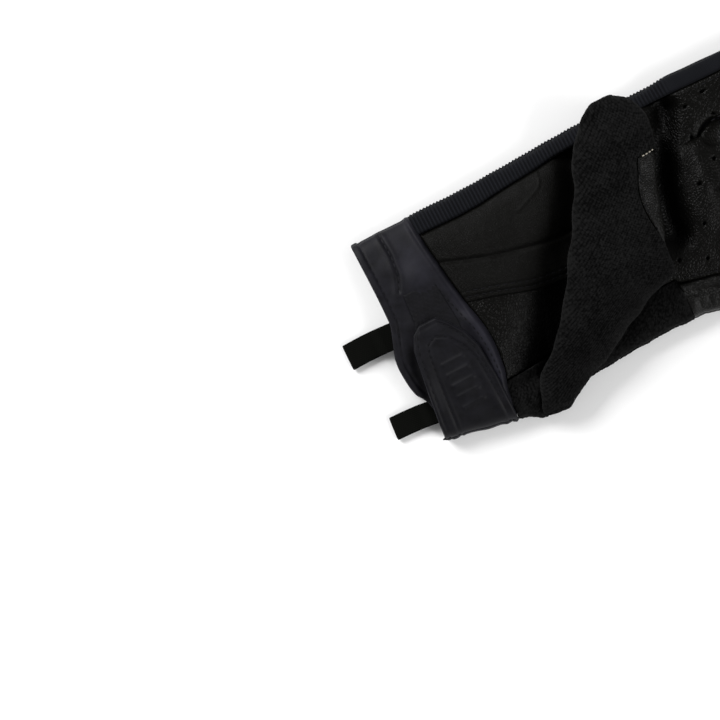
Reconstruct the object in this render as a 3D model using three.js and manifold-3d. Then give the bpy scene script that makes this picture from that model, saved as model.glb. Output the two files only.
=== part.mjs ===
// A right-hand mountain bike glove lying on its back: palm up, thumb folded over the palm, cuff strap closed.
// Millimetres. X runs from the cuff to the fingertips, Y to the little finger's side, Z up out of the palm.
// While it is modelled, X = 0, Y = 0 is the corner of the cuff on the little finger's side, and Z = 0 the table.
import * as THREE from 'three';
import { mergeVertices } from 'three/addons/utils/BufferGeometryUtils.js';
import Module from 'manifold-3d';

const wasm = await Module();
wasm.setup();

// Walls, and the gap that two sewn pieces keep
const LEATHER = 1.4;
const FABRIC = 1.6;
const SIDE_WALL = 1.2;
const TERRY = 1.8;
const GAP = 0.3;

// Height of the sides of the flattened hand and of the fingers: a side wall runs between these two
const HAND_SIDE = { low: 2, high: 5 };
const FINGER_SIDE = { low: 3, high: 9 };
const TIP_SIDE = { low: 4.6, high: 7.4 };
const FINGER_CROWN = 13;

// How square the top of a section is, and the share of its width that lies flat on the table
const HAND_SQUARENESS = 2.6;
const FINGER_SQUARENESS = 2.4;
const FLAT_SHARE = 0.7;

// The hand from the cuff seam to the crotches: both edges and the height of its crown
const HAND = [
  { x: 20, little: 0.5, index: -88.6, crown: 13.0 },
  { x: 32, little: 0.5, index: -90.4, crown: 13.8 },
  { x: 45, little: 0.5, index: -90.0, crown: 14.8 },
  { x: 60, little: 1.0, index: -88.3, crown: 15.4 },
  { x: 80, little: 1.8, index: -86.9, crown: 15.8 },
  { x: 98, little: 2.6, index: -86.2, crown: 15.8 },
  { x: 112, little: 3.0, index: -87.0, crown: 15.4 },
  { x: 128, little: 3.2, index: -90.8, crown: 14.6 },
  { x: 143, little: 3.8, index: -94.0, crown: 13.6 },
  { x: 150, little: 3.6, index: -94.6, crown: 13.2 },
];

// Folds of the palm leather: a line, how far it lifts or sinks the leather, and its half width
const FOLDS = [
  { fromX: 130, fromY: -4, toX: 113, toY: -50, lift: 1.6, half: 4.5 },
  { fromX: 137, fromY: -8, toX: 121, toY: -56, lift: -2.6, half: 4.5 },
  { fromX: 144, fromY: -26, toX: 131, toY: -52, lift: 1.5, half: 5 },
  { fromX: 121, fromY: -80, toX: 108, toY: -72, lift: -1.0, half: 4 },
];

// Points where two fingers part, with the two outer edges first and last
const PARTING = [
  { x: 143, y: 3.8 },
  { x: 143, y: -23 },
  { x: 148, y: -45 },
  { x: 147, y: -68.5 },
  { x: 147, y: -94.3 },
];

// Each finger: middle line and half width at its root, half way and near its tip, slant in degrees, and reach.
// Over the turning length before the parting, the hand's one wide section turns into the fingers' own
const FINGERS = [
  { name: 'little', middle: -9.0, root: 12.6, half: 11.7, tip: 10.6, slant: 0.5, reach: 203 },
  { name: 'ring', middle: -34.0, root: 10.3, half: 11.6, tip: 11.0, slant: -1.5, reach: 224 },
  { name: 'middle', middle: -56.8, root: 10.9, half: 12.0, tip: 11.4, slant: -3.5, reach: 232 },
  { name: 'index', middle: -82.0, root: 12.3, half: 12.3, tip: 11.2, slant: -6.5, reach: 221 },
];
const KNUCKLES = 146;
const PARTING_LENGTH = 9;
const TURN_LENGTH = 24;
const TIP_ROUNDING = 12;
const TIP_END_SHARE = 0.55;
const TIP_CORNER = 0.22;

// The cuff: edges and crown along it, its opening edge and the seam where the hand is sewn on
const CUFF = [
  { x: -8, little: 0.2, index: -80.6, crown: 12.4 },
  { x: 0, little: 0.4, index: -82.4, crown: 12.6 },
  { x: 12, little: 0.5, index: -84.8, crown: 12.9 },
  { x: 22, little: 0.5, index: -87.0, crown: 13.1 },
  { x: 34, little: 0.5, index: -89.0, crown: 13.3 },
];
const CUFF_OPENING = [
  { y: -95, x: -1.2 },
  { y: -74, x: -1.4 },
  { y: -68, x: -2.6 },
  { y: -63, x: -5.4 },
  { y: -53, x: -6.6 },
  { y: -47, x: -6.0 },
  { y: -40, x: -3.6 },
  { y: -33, x: -1.6 },
  { y: 5, x: -1.5 },
];
const CUFF_SEAM = [
  { y: -95, x: 29 },
  { y: -85, x: 28 },
  { y: -79, x: 28.4 },
  { y: -70, x: 31 },
  { y: -55, x: 32 },
  { y: -38, x: 29 },
  { y: -25, x: 27 },
  { y: -8, x: 25 },
  { y: 5, x: 24.5 },
];

// Strap on the cuff: the landing patch and the tab lie in layers over the cuff's wall
const PATCH_LAYER = { low: 0.25, high: 0.95 };
const TAB_LAYER = { low: 1.2, high: 3.0 };
const TAB_LOW_EDGE = 1.6;
const TAB = [
  { x: 9, y: -40 },
  { x: 16, y: -39.5 },
  { x: 20, y: -44 },
  { x: 24, y: -50 },
  { x: 26.5, y: -57 },
  { x: 27.4, y: -70 },
  { x: 27.8, y: -100 },
  { x: -2.6, y: -100 },
  { x: -2, y: -78 },
  { x: -0.6, y: -66 },
  { x: 1, y: -55 },
  { x: 2, y: -48 },
  { x: 4.4, y: -42.6 },
];
const TAB_RIBS = { count: 5, x: 14.5, length: 11, width: 1.4, firstY: -58, pitch: 4.6, rise: 0.6 };
const LANDING_PATCH = [
  { x: 8, y: -25.5 },
  { x: 22.6, y: -27.5 },
  { x: 23.6, y: -44 },
  { x: 23.6, y: -78 },
  { x: 4, y: -78 },
  { x: 4, y: -46 },
  { x: 7, y: -38 },
];

// Heel patch: a padded leather piece over the heel of the palm, with two pressed channels
const HEEL_LAYER = { low: 0.3, high: 1.8, channel: 0.9 };
const HEEL_PATCH = [
  { x: 25.6, y: -8.2 },
  { x: 50, y: -8.2 },
  { x: 62, y: -7.0 },
  { x: 78, y: -5.7 },
  { x: 88, y: -4.5 },
  { x: 108, y: -3.9 },
  { x: 109, y: -18 },
  { x: 105, y: -30 },
  { x: 98, y: -40 },
  { x: 88, y: -46.5 },
  { x: 79, y: -50 },
  { x: 68, y: -49.6 },
  { x: 56, y: -48 },
  { x: 42, y: -43.4 },
  { x: 30.1, y: -40 },
  { x: 27.8, y: -25 },
];
const CHANNEL_WIDTH = 1.8;
const CHANNELS = [
  [{ x: 27, y: -22 }, { x: 45, y: -27 }, { x: 60, y: -30.5 }, { x: 80, y: -32 }],
  [{ x: 52, y: -11 }, { x: 61, y: -14.4 }, { x: 69, y: -17 }, { x: 75.5, y: -13.5 }, { x: 78, y: -6 }],
];

// Borders between the panels of the hand
const GUSSET_SEAM = [
  { x: 15, y: -7.3 },
  { x: 50, y: -7.6 },
  { x: 62, y: -6.4 },
  { x: 78, y: -5 },
  { x: 88, y: -3.8 },
  { x: 128, y: -2.2 },
  { x: 155, y: -3 },
  { x: 190, y: -3.2 },
  { x: 198, y: -4.6 },
  { x: 206, y: -7.6 },
];
const TERRY_SEAM = [
  { x: 15, y: -75.6 },
  { x: 41, y: -75 },
  { x: 60, y: -73 },
  { x: 80, y: -71 },
  { x: 107.6, y: -70 },
];
const TERRY_END = 108.6;
const INDEX_SEAM = [
  { x: 108.9, y: -71.8 },
  { x: 125, y: -76 },
  { x: 147, y: -82 },
  { x: 165, y: -87.5 },
  { x: 190, y: -91.5 },
  { x: 206, y: -94 },
  { x: 215, y: -94.5 },
  { x: 223, y: -93 },
];

// Perforations of the palm leather
const PERFORATION = { diameter: 1.6, sides: 6 };
const PERFORATIONS = [
  { x: 152, y: -7.5 },
  { x: 143, y: -10 },
  { x: 151.5, y: -18 },
  { x: 140, y: -22 },
  { x: 144, y: -33.5 },
  { x: 134, y: -40 },
  { x: 137, y: -57 },
  { x: 128.5, y: -55 },
  { x: 113, y: -63.5 },
  { x: 123.5, y: -68 },
];

// The folded thumb, from the bulge at its root to its tip. Each section is a flattened ring between a left and a
// right edge; tilt lifts its left edge, and seam is the angle from the right edge up to where the terry starts
const THUMB = [
  { leftX: 41, leftY: -95.6, rightX: 49, rightY: -95.2, z: 7.2, half: 2.8, tilt: 0, seam: -60 },
  { leftX: 35, leftY: -93, rightX: 55, rightY: -92, z: 7.8, half: 5.4, tilt: 0, seam: -60 },
  { leftX: 36, leftY: -87.5, rightX: 62, rightY: -89, z: 8.8, half: 6.2, tilt: 0, seam: -50 },
  { leftX: 41, leftY: -81, rightX: 75, rightY: -82, z: 11.4, half: 6.8, tilt: 0.4, seam: -40 },
  { leftX: 46.5, leftY: -77, rightX: 86, rightY: -76, z: 14.2, half: 7, tilt: 0.8, seam: -30 },
  { leftX: 53, leftY: -71.5, rightX: 97, rightY: -70.5, z: 17, half: 7, tilt: 1.2, seam: -20 },
  { leftX: 61, leftY: -61.5, rightX: 108, rightY: -67, z: 20.2, half: 6.9, tilt: 1.4, seam: -10 },
  { leftX: 70, leftY: -50, rightX: 110, rightY: -58, z: 23, half: 6.7, tilt: 1.5, seam: 5 },
  { leftX: 78, leftY: -39, rightX: 113.5, rightY: -49, z: 24.4, half: 6.3, tilt: 1.4, seam: 38 },
  { leftX: 84, leftY: -30, rightX: 117, rightY: -38, z: 24.4, half: 6.1, tilt: 1.2, seam: 55 },
  { leftX: 88, leftY: -20, rightX: 120.5, rightY: -28, z: 24.1, half: 6, tilt: 1, seam: 55 },
  { leftX: 91, leftY: -12, rightX: 124.6, rightY: -18.5, z: 23.6, half: 6, tilt: 0.6, seam: 15 },
  { leftX: 93.5, leftY: -4.5, rightX: 127.3, rightY: -8, z: 23.2, half: 5.9, tilt: 0.3, seam: -25 },
  { leftX: 98, leftY: -0.5, rightX: 126.6, rightY: -2, z: 22.9, half: 5.5, tilt: 0, seam: -30 },
  { leftX: 103, leftY: 3.9, rightX: 122.6, rightY: 3.3, z: 22.7, half: 4.5, tilt: 0, seam: -30 },
  { leftX: 108.6, leftY: 7.2, rightX: 117.8, rightY: 6.9, z: 22.6, half: 2.9, tilt: 0, seam: -30 },
];
const THUMB_SQUARENESS = 2.3;
const THUMB_SIDES = 18;
const THUMB_LEFT_SEAM = 205;
const THUMB_LEATHER_START = 3;
const THUMB_SEAM_ANGLE = 1.6;
const THUMB_LEATHER_STEPS = 12;
const THUMB_LEATHER_SHORT = 0.7;

// Pull loops: webbing folded double, lying on the table, with its ends sewn in over the back of the cuff
const WEBBING = 1.0;
const WEBBING_SPACE = 0.4;
const PULL_LOOPS = [
  { name: 'pull_loop_upper', foldX: -22.8, foldY: -38.4, width: 10.8, degrees: -1, length: 31 },
  { name: 'pull_loop_lower', foldX: -19.4, foldY: -72.0, width: 9.7, degrees: -4.5, length: 27.5 },
];
const LOOP_STEP = { start: 11.5, end: 16, rise: 1.9 };
const LOOP_BEND = 1.2;
const LOOP_CORNER = 0.3;

// Stations of the grids, as shares of the way, and the strips across each finger's ray
const HAND_STATIONS = [0, 0.08, 0.18, 0.3, 0.42, 0.54, 0.65, 0.73, 0.79, 0.85, 0.9, 0.95, 1];
const FINGER_STATIONS = [0, 0.035, 0.1, 0.22, 0.38, 0.56, 0.74];
const TIP_STATIONS = 3;
const CUFF_STATIONS = 5;
const STRIPS = 6;
const BACK_STRIPS = 4;
const CUFF_STRIPS = 16;

// How far a cutting block reaches: past the glove to its sides, past its fingertips, below the table and above
// the thumb. The towelling's block turns off its seam short of the hand's edge
const FAR = 130;
const PAST_TIPS = 260;
const BELOW = -30;
const ABOVE = 60;
const TERRY_TURN = -78;

// A cut of one wall overlaps the pieces beside it by these lengths
const INTO_TOP = -0.5;
const PAST_CUFF = 0.4;
const PAST_STRAP = 0.25;
const RIB_ROOT = 0.4;

// Thinnest half of the thumb's hollow, and the region round it that is its leather, as scales about its middle
const THUMB_THIN = 0.6;
const THUMB_REGION = { outer: 1.4, inner: 0.25 };

const mix = THREE.MathUtils.lerp;
const clamp = THREE.MathUtils.clamp;
const radians = THREE.MathUtils.degToRad;

// A smooth curve through the rows of a table, one column against another
function through(rows, from, to) {
  const slopes = rows.map((_, i) => {
    const before = rows[Math.max(i - 1, 0)];
    const after = rows[Math.min(i + 1, rows.length - 1)];
    return (after[to] - before[to]) / (after[from] - before[from]);
  });
  return (at) => {
    let i = 0;
    while (i < rows.length - 2 && at > rows[i + 1][from]) i += 1;
    const span = rows[i + 1][from] - rows[i][from];
    const u = clamp((at - rows[i][from]) / span, 0, 1);
    const turn = u * u * (3 - 2 * u);
    const start = u * (1 - u) * (1 - u) * span * slopes[i];
    const end = u * u * (u - 1) * span * slopes[i + 1];
    return mix(rows[i][to], rows[i + 1][to], turn) + start + end;
  };
}

const handLittle = through(HAND, 'x', 'little');
const handIndex = through(HAND, 'x', 'index');
const handCrown = through(HAND, 'x', 'crown');
const cuffLittle = through(CUFF, 'x', 'little');
const cuffIndex = through(CUFF, 'x', 'index');
const cuffCrown = through(CUFF, 'x', 'crown');
const cuffOpening = through(CUFF_OPENING, 'y', 'x');
const cuffSeam = through(CUFF_SEAM, 'y', 'x');

// Rounded top of a section, 1 at its middle and 0 at its edges, for across from -1 to 1
function dome(across, squareness) {
  return (1 - Math.min(Math.abs(across), 1) ** squareness) ** (1 / squareness);
}

// Underside of a section: 1 where it lies flat, falling to 0 at the edges
function flatBelly(across) {
  const past = Math.max(Math.abs(across) - FLAT_SHARE, 0) / (1 - FLAT_SHARE);
  return Math.sqrt(1 - Math.min(past, 1) ** 2);
}

// Strips are narrow at both edges, where the surface turns over
function spread(share) {
  return (1 - Math.cos(Math.PI * share)) / 2;
}

// Lift of the leather by its folds
function foldLift(x, y) {
  let lift = 0;
  for (const fold of FOLDS) {
    const dx = fold.toX - fold.fromX;
    const dy = fold.toY - fold.fromY;
    const along = clamp(((x - fold.fromX) * dx + (y - fold.fromY) * dy) / (dx * dx + dy * dy), 0, 1);
    const away = Math.hypot(x - fold.fromX - along * dx, y - fold.fromY - along * dy);
    lift += fold.lift * Math.exp(-((away / fold.half) ** 2));
  }
  return lift;
}

// Line between two rays of the hand, from an even division at the cuff to the point where the fingers part
function rayEdge(number, x) {
  if (number === 0) return handLittle(x);
  if (number === FINGERS.length) return handIndex(x);
  const start = mix(HAND[1].little, HAND[1].index, number / FINGERS.length);
  const along = (x - HAND[1].x) / (PARTING[number].x - HAND[1].x);
  return mix(start, PARTING[number].y, along);
}

function fingerMiddle(finger, x) {
  return finger.middle + Math.tan(radians(finger.slant)) * (x - KNUCKLES);
}

// Plan of a finger: its edge on one side, past the point where it parts from the next
function fingerEdge(number, side, x) {
  const finger = FINGERS[number];
  const edge = side < 0 ? number : number + 1;
  const root = PARTING[edge];
  const share = clamp((x - root.x) / (finger.reach - root.x), 0, 1);
  const early = mix(finger.root, finger.half, Math.min(share * 2, 1));
  let half = mix(early, finger.tip, Math.max(share * 2 - 1, 0));
  const past = Math.max(x - finger.reach + TIP_ROUNDING, 0) / TIP_ROUNDING;
  half *= Math.sqrt(1 - (1 - TIP_END_SHARE ** 2) * Math.min(past, 1) ** 2);
  const parted = THREE.MathUtils.smoothstep(x, root.x, root.x + PARTING_LENGTH);
  return mix(root.y, fingerMiddle(finger, x) - side * half, Math.sqrt(parted));
}

const lastHand = HAND_STATIONS.length - 1;
const fingerShares = (number) => {
  const length = FINGERS[number].reach - PARTING[number].x;
  const rounding = TIP_ROUNDING / length;
  const ends = Array.from({ length: TIP_STATIONS + 1 }, (_, i) => {
    return 1 - rounding * (1 - Math.sin((Math.PI / 2) * (i / TIP_STATIONS)));
  });
  return [...FINGER_STATIONS, ...ends];
};
const lastStation = lastHand + FINGER_STATIONS.length + TIP_STATIONS;

// A point on the top or the underside of the hand. ray is the finger that it leads to, station counts from the cuff
// seam to the fingertip, share runs across the ray, and inset is the depth under the outer face
function handPoint(isTop, ray, station, share, inset) {
  const across = spread(share);
  const partX = mix(PARTING[ray].x, PARTING[ray + 1].x, across);
  const atSeam = mix(HAND[1].little, HAND[1].index, (ray + across) / FINGERS.length);
  const seamX = cuffSeam(atSeam) + GAP;
  const inHand = station <= lastHand;
  let x = inHand
    ? mix(seamX, partX, HAND_STATIONS[station])
    : mix(partX, FINGERS[ray].reach, fingerShares(ray)[station - lastHand]);
  const isOuter = (side) => (side < 0 ? ray === 0 : ray === FINGERS.length - 1);
  const edges = [-1, 1].map((side) => {
    const plain = inHand ? rayEdge(side < 0 ? ray : ray + 1, x) : fingerEdge(ray, side, x);
    return plain + (inHand && !isOuter(side) ? 0 : side * inset);
  });
  const y = mix(edges[0], edges[1], across);
  const atPart = station === lastHand;
  const onInnerEdge = (share === 0 && !isOuter(-1)) || (share === 1 && !isOuter(1));
  if (atPart && onInnerEdge) x -= inset;

  // Share of the way from the hand's section to the finger's own
  const turning = inHand ? THREE.MathUtils.smoothstep(x, partX - TURN_LENGTH, partX) : 1;
  const toTip = inHand ? 0 : fingerShares(ray)[station - lastHand];
  const nearTip = THREE.MathUtils.smoothstep(toTip, 0.75, 1);
  const fingerSide = {
    low: mix(FINGER_SIDE.low, TIP_SIDE.low, nearTip),
    high: mix(FINGER_SIDE.high, TIP_SIDE.high, nearTip),
  };
  const handMiddle = (handLittle(x) + handIndex(x)) / 2;
  const handHalf = (handLittle(x) - handIndex(x)) / 2 - inset;
  const acrossHand = (y - handMiddle) / handHalf;
  const acrossFinger = 2 * across - 1;
  if (isTop) {
    const tipCrown = TIP_SIDE.high + LEATHER;
    const fingerCrown = mix(FINGER_CROWN, tipCrown, nearTip ** 2) - inset;
    const hand = mix(HAND_SIDE.high, handCrown(x) - inset, dome(acrossHand, HAND_SQUARENESS));
    const finger = mix(fingerSide.high, fingerCrown, dome(acrossFinger, FINGER_SQUARENESS));
    const z = mix(hand, finger, turning);
    const inside = dome(acrossHand, 4) * (inHand ? 1 - 0.6 * turning : 0);
    return new THREE.Vector3(x, y, z + foldLift(x, y) * inside);
  }
  const hand = mix(HAND_SIDE.low, inset, flatBelly(acrossHand));
  const tipFloor = (TIP_SIDE.low - FABRIC) * nearTip ** 2 + inset;
  const finger = mix(fingerSide.low, tipFloor, flatBelly(acrossFinger));
  return new THREE.Vector3(x, y, mix(hand, finger, turning));
}

// A list of triangles that a solid is made from
class Faces {
  constructor() {
    this.corners = [];
  }

  quad(a, b, c, d) {
    this.corners.push(a, b, c, a, c, d);
  }

  // Two facing grids of points, joined along the sides that are named
  wall(outer, inner, sides) {
    const rows = outer.length - 1;
    const columns = outer[0].length - 1;
    for (let i = 0; i < rows; i += 1) {
      for (let j = 0; j < columns; j += 1) {
        this.quad(outer[i][j], outer[i + 1][j], outer[i + 1][j + 1], outer[i][j + 1]);
        this.quad(inner[i][j], inner[i][j + 1], inner[i + 1][j + 1], inner[i + 1][j]);
      }
    }
    for (let j = 0; j < columns; j += 1) {
      if (sides.includes('first')) this.quad(outer[0][j], outer[0][j + 1], inner[0][j + 1], inner[0][j]);
      if (sides.includes('last')) {
        this.quad(outer[rows][j + 1], outer[rows][j], inner[rows][j], inner[rows][j + 1]);
      }
    }
    for (let i = 0; i < rows; i += 1) {
      if (sides.includes('left')) this.quad(outer[i + 1][0], outer[i][0], inner[i][0], inner[i + 1][0]);
      if (sides.includes('right')) {
        this.quad(outer[i][columns], outer[i + 1][columns], inner[i + 1][columns], inner[i][columns]);
      }
    }
    return this;
  }

  // Rings of points one after another, closed at both ends
  tube(rings) {
    const closed = rings.map((ring) => [...ring, ring[0]]);
    for (let i = 0; i < rings.length - 1; i += 1) {
      for (let j = 0; j < closed[0].length - 1; j += 1) {
        this.quad(closed[i][j], closed[i + 1][j], closed[i + 1][j + 1], closed[i][j + 1]);
      }
    }
    const middle = (ring) => ring.reduce((sum, p) => sum.add(p), new THREE.Vector3()).divideScalar(ring.length);
    const first = closed[0];
    const last = closed[closed.length - 1];
    const firstMiddle = middle(rings[0]);
    const lastMiddle = middle(rings[rings.length - 1]);
    for (let j = 0; j < first.length - 1; j += 1) {
      this.corners.push(firstMiddle, first[j], first[j + 1]);
      this.corners.push(lastMiddle, last[j + 1], last[j]);
    }
    return this;
  }

  solid() {
    const geometry = new THREE.BufferGeometry().setFromPoints(this.corners);
    return toSolid(geometry);
  }
}

// Volume under a mesh's faces, negative where they point inwards
function signedVolume(positions, index) {
  const [a, b, c] = [new THREE.Vector3(), new THREE.Vector3(), new THREE.Vector3()];
  let volume = 0;
  for (let i = 0; i < index.length; i += 3) {
    a.fromArray(positions, index[i] * 3);
    b.fromArray(positions, index[i + 1] * 3);
    c.fromArray(positions, index[i + 2] * 3);
    volume += a.dot(b.cross(c)) / 6;
  }
  return volume;
}

function toSolid(geometry) {
  geometry.deleteAttribute('normal');
  geometry.deleteAttribute('uv');
  const merged = mergeVertices(geometry, 1e-4);
  const vertProperties = Float32Array.from(merged.attributes.position.array);
  const kept = [];
  const index = merged.index.array;
  for (let i = 0; i < index.length; i += 3) {
    const [a, b, c] = [index[i], index[i + 1], index[i + 2]];
    if (a !== b && b !== c && a !== c) kept.push(a, b, c);
  }
  const triVerts = Uint32Array.from(kept);
  if (signedVolume(vertProperties, triVerts) < 0) {
    for (let i = 0; i < triVerts.length; i += 3) {
      const first = triVerts[i];
      triVerts[i] = triVerts[i + 1];
      triVerts[i + 1] = first;
    }
  }
  return new wasm.Manifold(new wasm.Mesh({ numProp: 3, vertProperties, triVerts }));
}

// A solid's biggest body as a mesh, without the slivers that a cut can leave
function toGeometry(solid) {
  const bodies = solid.decompose().sort((a, b) => b.volume() - a.volume());
  const { vertProperties, triVerts } = bodies[0].getMesh();
  const geometry = new THREE.BufferGeometry();
  geometry.setAttribute('position', new THREE.BufferAttribute(Float32Array.from(vertProperties), 3));
  geometry.setIndex(Array.from(triVerts));
  return geometry;
}

// A plan outline as an upright block between two heights
function prism(outline, low = BELOW, high = ABOVE) {
  const shape = new THREE.Shape(outline.map(({ x, y }) => new THREE.Vector2(x, y)));
  const geometry = new THREE.ExtrudeGeometry(shape, { depth: high - low, bevelEnabled: false });
  geometry.translate(0, 0, low);
  return toSolid(geometry);
}

// A band of even width along a plan line
function band(line, width, low) {
  const sides = [1, -1].map((side) => {
    return line.map((point, i) => {
      const before = line[Math.max(i - 1, 0)];
      const after = line[Math.min(i + 1, line.length - 1)];
      const length = Math.hypot(after.x - before.x, after.y - before.y);
      const reach = (side * width) / 2 / length;
      return { x: point.x - (after.y - before.y) * reach, y: point.y + (after.x - before.x) * reach };
    });
  });
  return prism([...sides[0], ...sides[1].reverse()], low);
}

// The three regions that border on the palm leather, grown by the gap where they cut it back
function gussetRegion(grow) {
  const seam = GUSSET_SEAM.map(({ x, y }) => ({ x, y: y - grow }));
  const end = seam[seam.length - 1].y;
  return prism([...seam, { x: PAST_TIPS, y: end }, { x: PAST_TIPS, y: FAR }, { x: seam[0].x, y: FAR }]);
}

function terryRegion(grow) {
  const seam = TERRY_SEAM.map(({ x, y }) => ({ x: Math.min(x + grow, TERRY_END + grow), y: y + grow }));
  const end = TERRY_END + grow;
  return prism([...seam, { x: end, y: TERRY_TURN }, { x: end, y: -FAR }, { x: TERRY_SEAM[0].x, y: -FAR }]);
}

function indexRegion(grow) {
  const seam = INDEX_SEAM.map(({ x, y }) => ({ x: x - grow, y: y + grow }));
  const end = INDEX_SEAM[INDEX_SEAM.length - 1].y;
  return prism([...seam, { x: PAST_TIPS, y: end }, { x: PAST_TIPS, y: -FAR }, { x: seam[0].x, y: -FAR }]);
}

function grid(rows, columns, point) {
  return Array.from({ length: rows + 1 }, (_, i) => Array.from({ length: columns + 1 }, (__, j) => point(i, j)));
}

// The whole top or underside of the hand with its fingers, as one wall
function handPanel(isTop, thickness, strips) {
  const faces = new Faces();
  FINGERS.forEach((_, ray) => {
    const point = (inset) => (i, j) => handPoint(isTop, ray, i, j / strips, inset);
    const sides = ['first'];
    if (ray === 0) sides.push('left');
    if (ray === FINGERS.length - 1) sides.push('right');
    faces.wall(grid(lastHand, strips, point(0)), grid(lastHand, strips, point(thickness)), sides);
    const fingerPoint = (inset) => (i, j) => handPoint(isTop, ray, i + lastHand, j / strips, inset);
    const rows = lastStation - lastHand;
    const outer = grid(rows, strips, fingerPoint(0));
    faces.wall(outer, grid(rows, strips, fingerPoint(thickness)), ['left', 'right', 'last']);
  });
  return faces.solid();
}

// Everything under the palm leather's face, lifted by a distance, down to below the table
function underPalm(lift, inset = 0) {
  const faces = new Faces();
  FINGERS.forEach((_, ray) => {
    const point = (i, j) => handPoint(true, ray, i, j / STRIPS, inset).add(new THREE.Vector3(0, 0, lift));
    const top = grid(lastHand, STRIPS, point);
    const sides = ['first', 'last'];
    if (ray === 0) sides.push('left');
    if (ray === FINGERS.length - 1) sides.push('right');
    faces.wall(top, top.map((row) => row.map((p) => new THREE.Vector3(p.x, p.y, BELOW))), sides);
  });
  return faces.solid();
}

// The end of a side wall: round the corner of a fingertip and on to just short of the finger's middle line
function turnRoundTip(ring, { finger, side }, thickness) {
  const x = (i) => finger.reach + GAP + (i < 2 ? thickness : 0);
  const middle = fingerMiddle(finger, finger.reach);
  const corner = ring.map((p, i) => new THREE.Vector3(x(i), mix(p.y, middle, i < 2 ? TIP_CORNER : 0), p.z));
  const end = ring.map((p, i) => new THREE.Vector3(x(i), middle - side * GAP, p.z));
  return [corner, end];
}

// An upright wall along an edge of the hand. Each stop is a ray, its side and a station, and the fingertips that it
// ends at are given for its first and last stop
function sideWall(stops, thickness, lowTrim, highTrim, tips) {
  const rings = stops.map(({ ray, side, station }) => {
    const share = side < 0 ? 0 : 1;
    const [outer, inner] = [0, thickness].map((inset) => handPoint(true, ray, station, share, inset));
    const low = handPoint(false, ray, station, share, 0).z + lowTrim;
    const high = outer.z - highTrim;
    const at = (plan, z) => new THREE.Vector3(plan.x, plan.y, z);
    return [at(outer, low), at(outer, high), at(inner, high), at(inner, low)];
  });
  const start = tips.first ? turnRoundTip(rings[0], tips.first, thickness).reverse() : [];
  const end = turnRoundTip(rings[rings.length - 1], tips.last, thickness);
  return new Faces().tube([...start, ...rings, ...end]).solid();
}

const stationsBetween = (ray, side, from, to) => {
  const step = from < to ? 1 : -1;
  const count = Math.abs(to - from) + 1;
  return Array.from({ length: count }, (_, i) => ({ ray, side, station: from + step * i }));
};

// A ring round the thumb at one station. inset is the depth under the outer face, swell a scale about the middle
function thumbPoint(row, degrees, inset, swell = 1) {
  const left = new THREE.Vector3(row.leftX, row.leftY, row.z + row.tilt);
  const right = new THREE.Vector3(row.rightX, row.rightY, row.z - row.tilt);
  const middle = left.clone().add(right).multiplyScalar(0.5);
  const toRight = right.clone().sub(middle);
  const half = toRight.length();
  toRight.multiplyScalar(Math.max(half - inset, THUMB_THIN) / half);
  const angle = radians(degrees);
  const bend = 2 / THUMB_SQUARENESS;
  const across = Math.sign(Math.cos(angle)) * Math.abs(Math.cos(angle)) ** bend;
  const up = Math.sign(Math.sin(angle)) * Math.abs(Math.sin(angle)) ** bend;
  const height = Math.max(row.half - inset, THUMB_THIN);
  return new THREE.Vector3(0, 0, up * height)
    .addScaledVector(toRight, across)
    .multiplyScalar(swell)
    .add(middle);
}

function thumbTube(inset) {
  const rows = inset > 0 ? THUMB.slice(1, -1) : THUMB;
  const rings = rows.map((row) => {
    return Array.from({ length: THUMB_SIDES }, (_, i) => thumbPoint(row, (360 * i) / THUMB_SIDES, inset));
  });
  return new Faces().tube(rings).solid();
}

// The part of the space round the thumb that its leather takes: under it and up its right edge. It is grown by an
// angle along its seams and by the gap at its two ends
function thumbLeatherRegion(angle, gap) {
  const rows = THUMB.slice(THUMB_LEATHER_START, -1).map((row) => ({ ...row }));
  const shift = (row, by) => Object.assign(row, { leftY: row.leftY + by, rightY: row.rightY + by });
  shift(rows[0], THUMB_LEATHER_SHORT - gap);
  shift(rows[rows.length - 1], gap - THUMB_LEATHER_SHORT);
  const layer = (swell) => grid(rows.length - 1, THUMB_LEATHER_STEPS, (i, j) => {
    const share = j / THUMB_LEATHER_STEPS;
    return thumbPoint(rows[i], mix(THUMB_LEFT_SEAM - angle, 360 + rows[i].seam + angle, share), 0, swell);
  });
  const { outer, inner } = THUMB_REGION;
  return new Faces().wall(layer(outer), layer(inner), ['first', 'last', 'left', 'right']).solid();
}

// A closed flattened ring of the cuff, through its whole length and a little past both ends
function cuffBody(inset, past = 0) {
  const rings = Array.from({ length: CUFF_STATIONS + 1 }, (_, i) => {
    const share = mix(-past, 1 + past, i / CUFF_STATIONS);
    const point = (isTop, across) => {
      let x = CUFF[1].x;
      let y = 0;
      for (let pass = 0; pass < 3; pass += 1) {
        y = mix(cuffLittle(x), cuffIndex(x), across);
        x = mix(cuffOpening(y), cuffSeam(y), share);
      }
      y += inset * (2 * across - 1);
      const acrossCuff = 2 * across - 1;
      const z = isTop
        ? mix(HAND_SIDE.high, cuffCrown(x) - inset, dome(acrossCuff, HAND_SQUARENESS))
        : mix(HAND_SIDE.low, inset, flatBelly(acrossCuff));
      return new THREE.Vector3(x, y, z);
    };
    const shares = Array.from({ length: CUFF_STRIPS + 1 }, (__, j) => spread(j / CUFF_STRIPS));
    const top = shares.map((across) => point(true, across));
    const under = shares.map((across) => point(false, across)).reverse();
    return [...top, ...under];
  });
  return new Faces().tube(rings).solid();
}

function layerOn(body, { low, high }) {
  return body(-high).subtract(body(-low));
}

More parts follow.
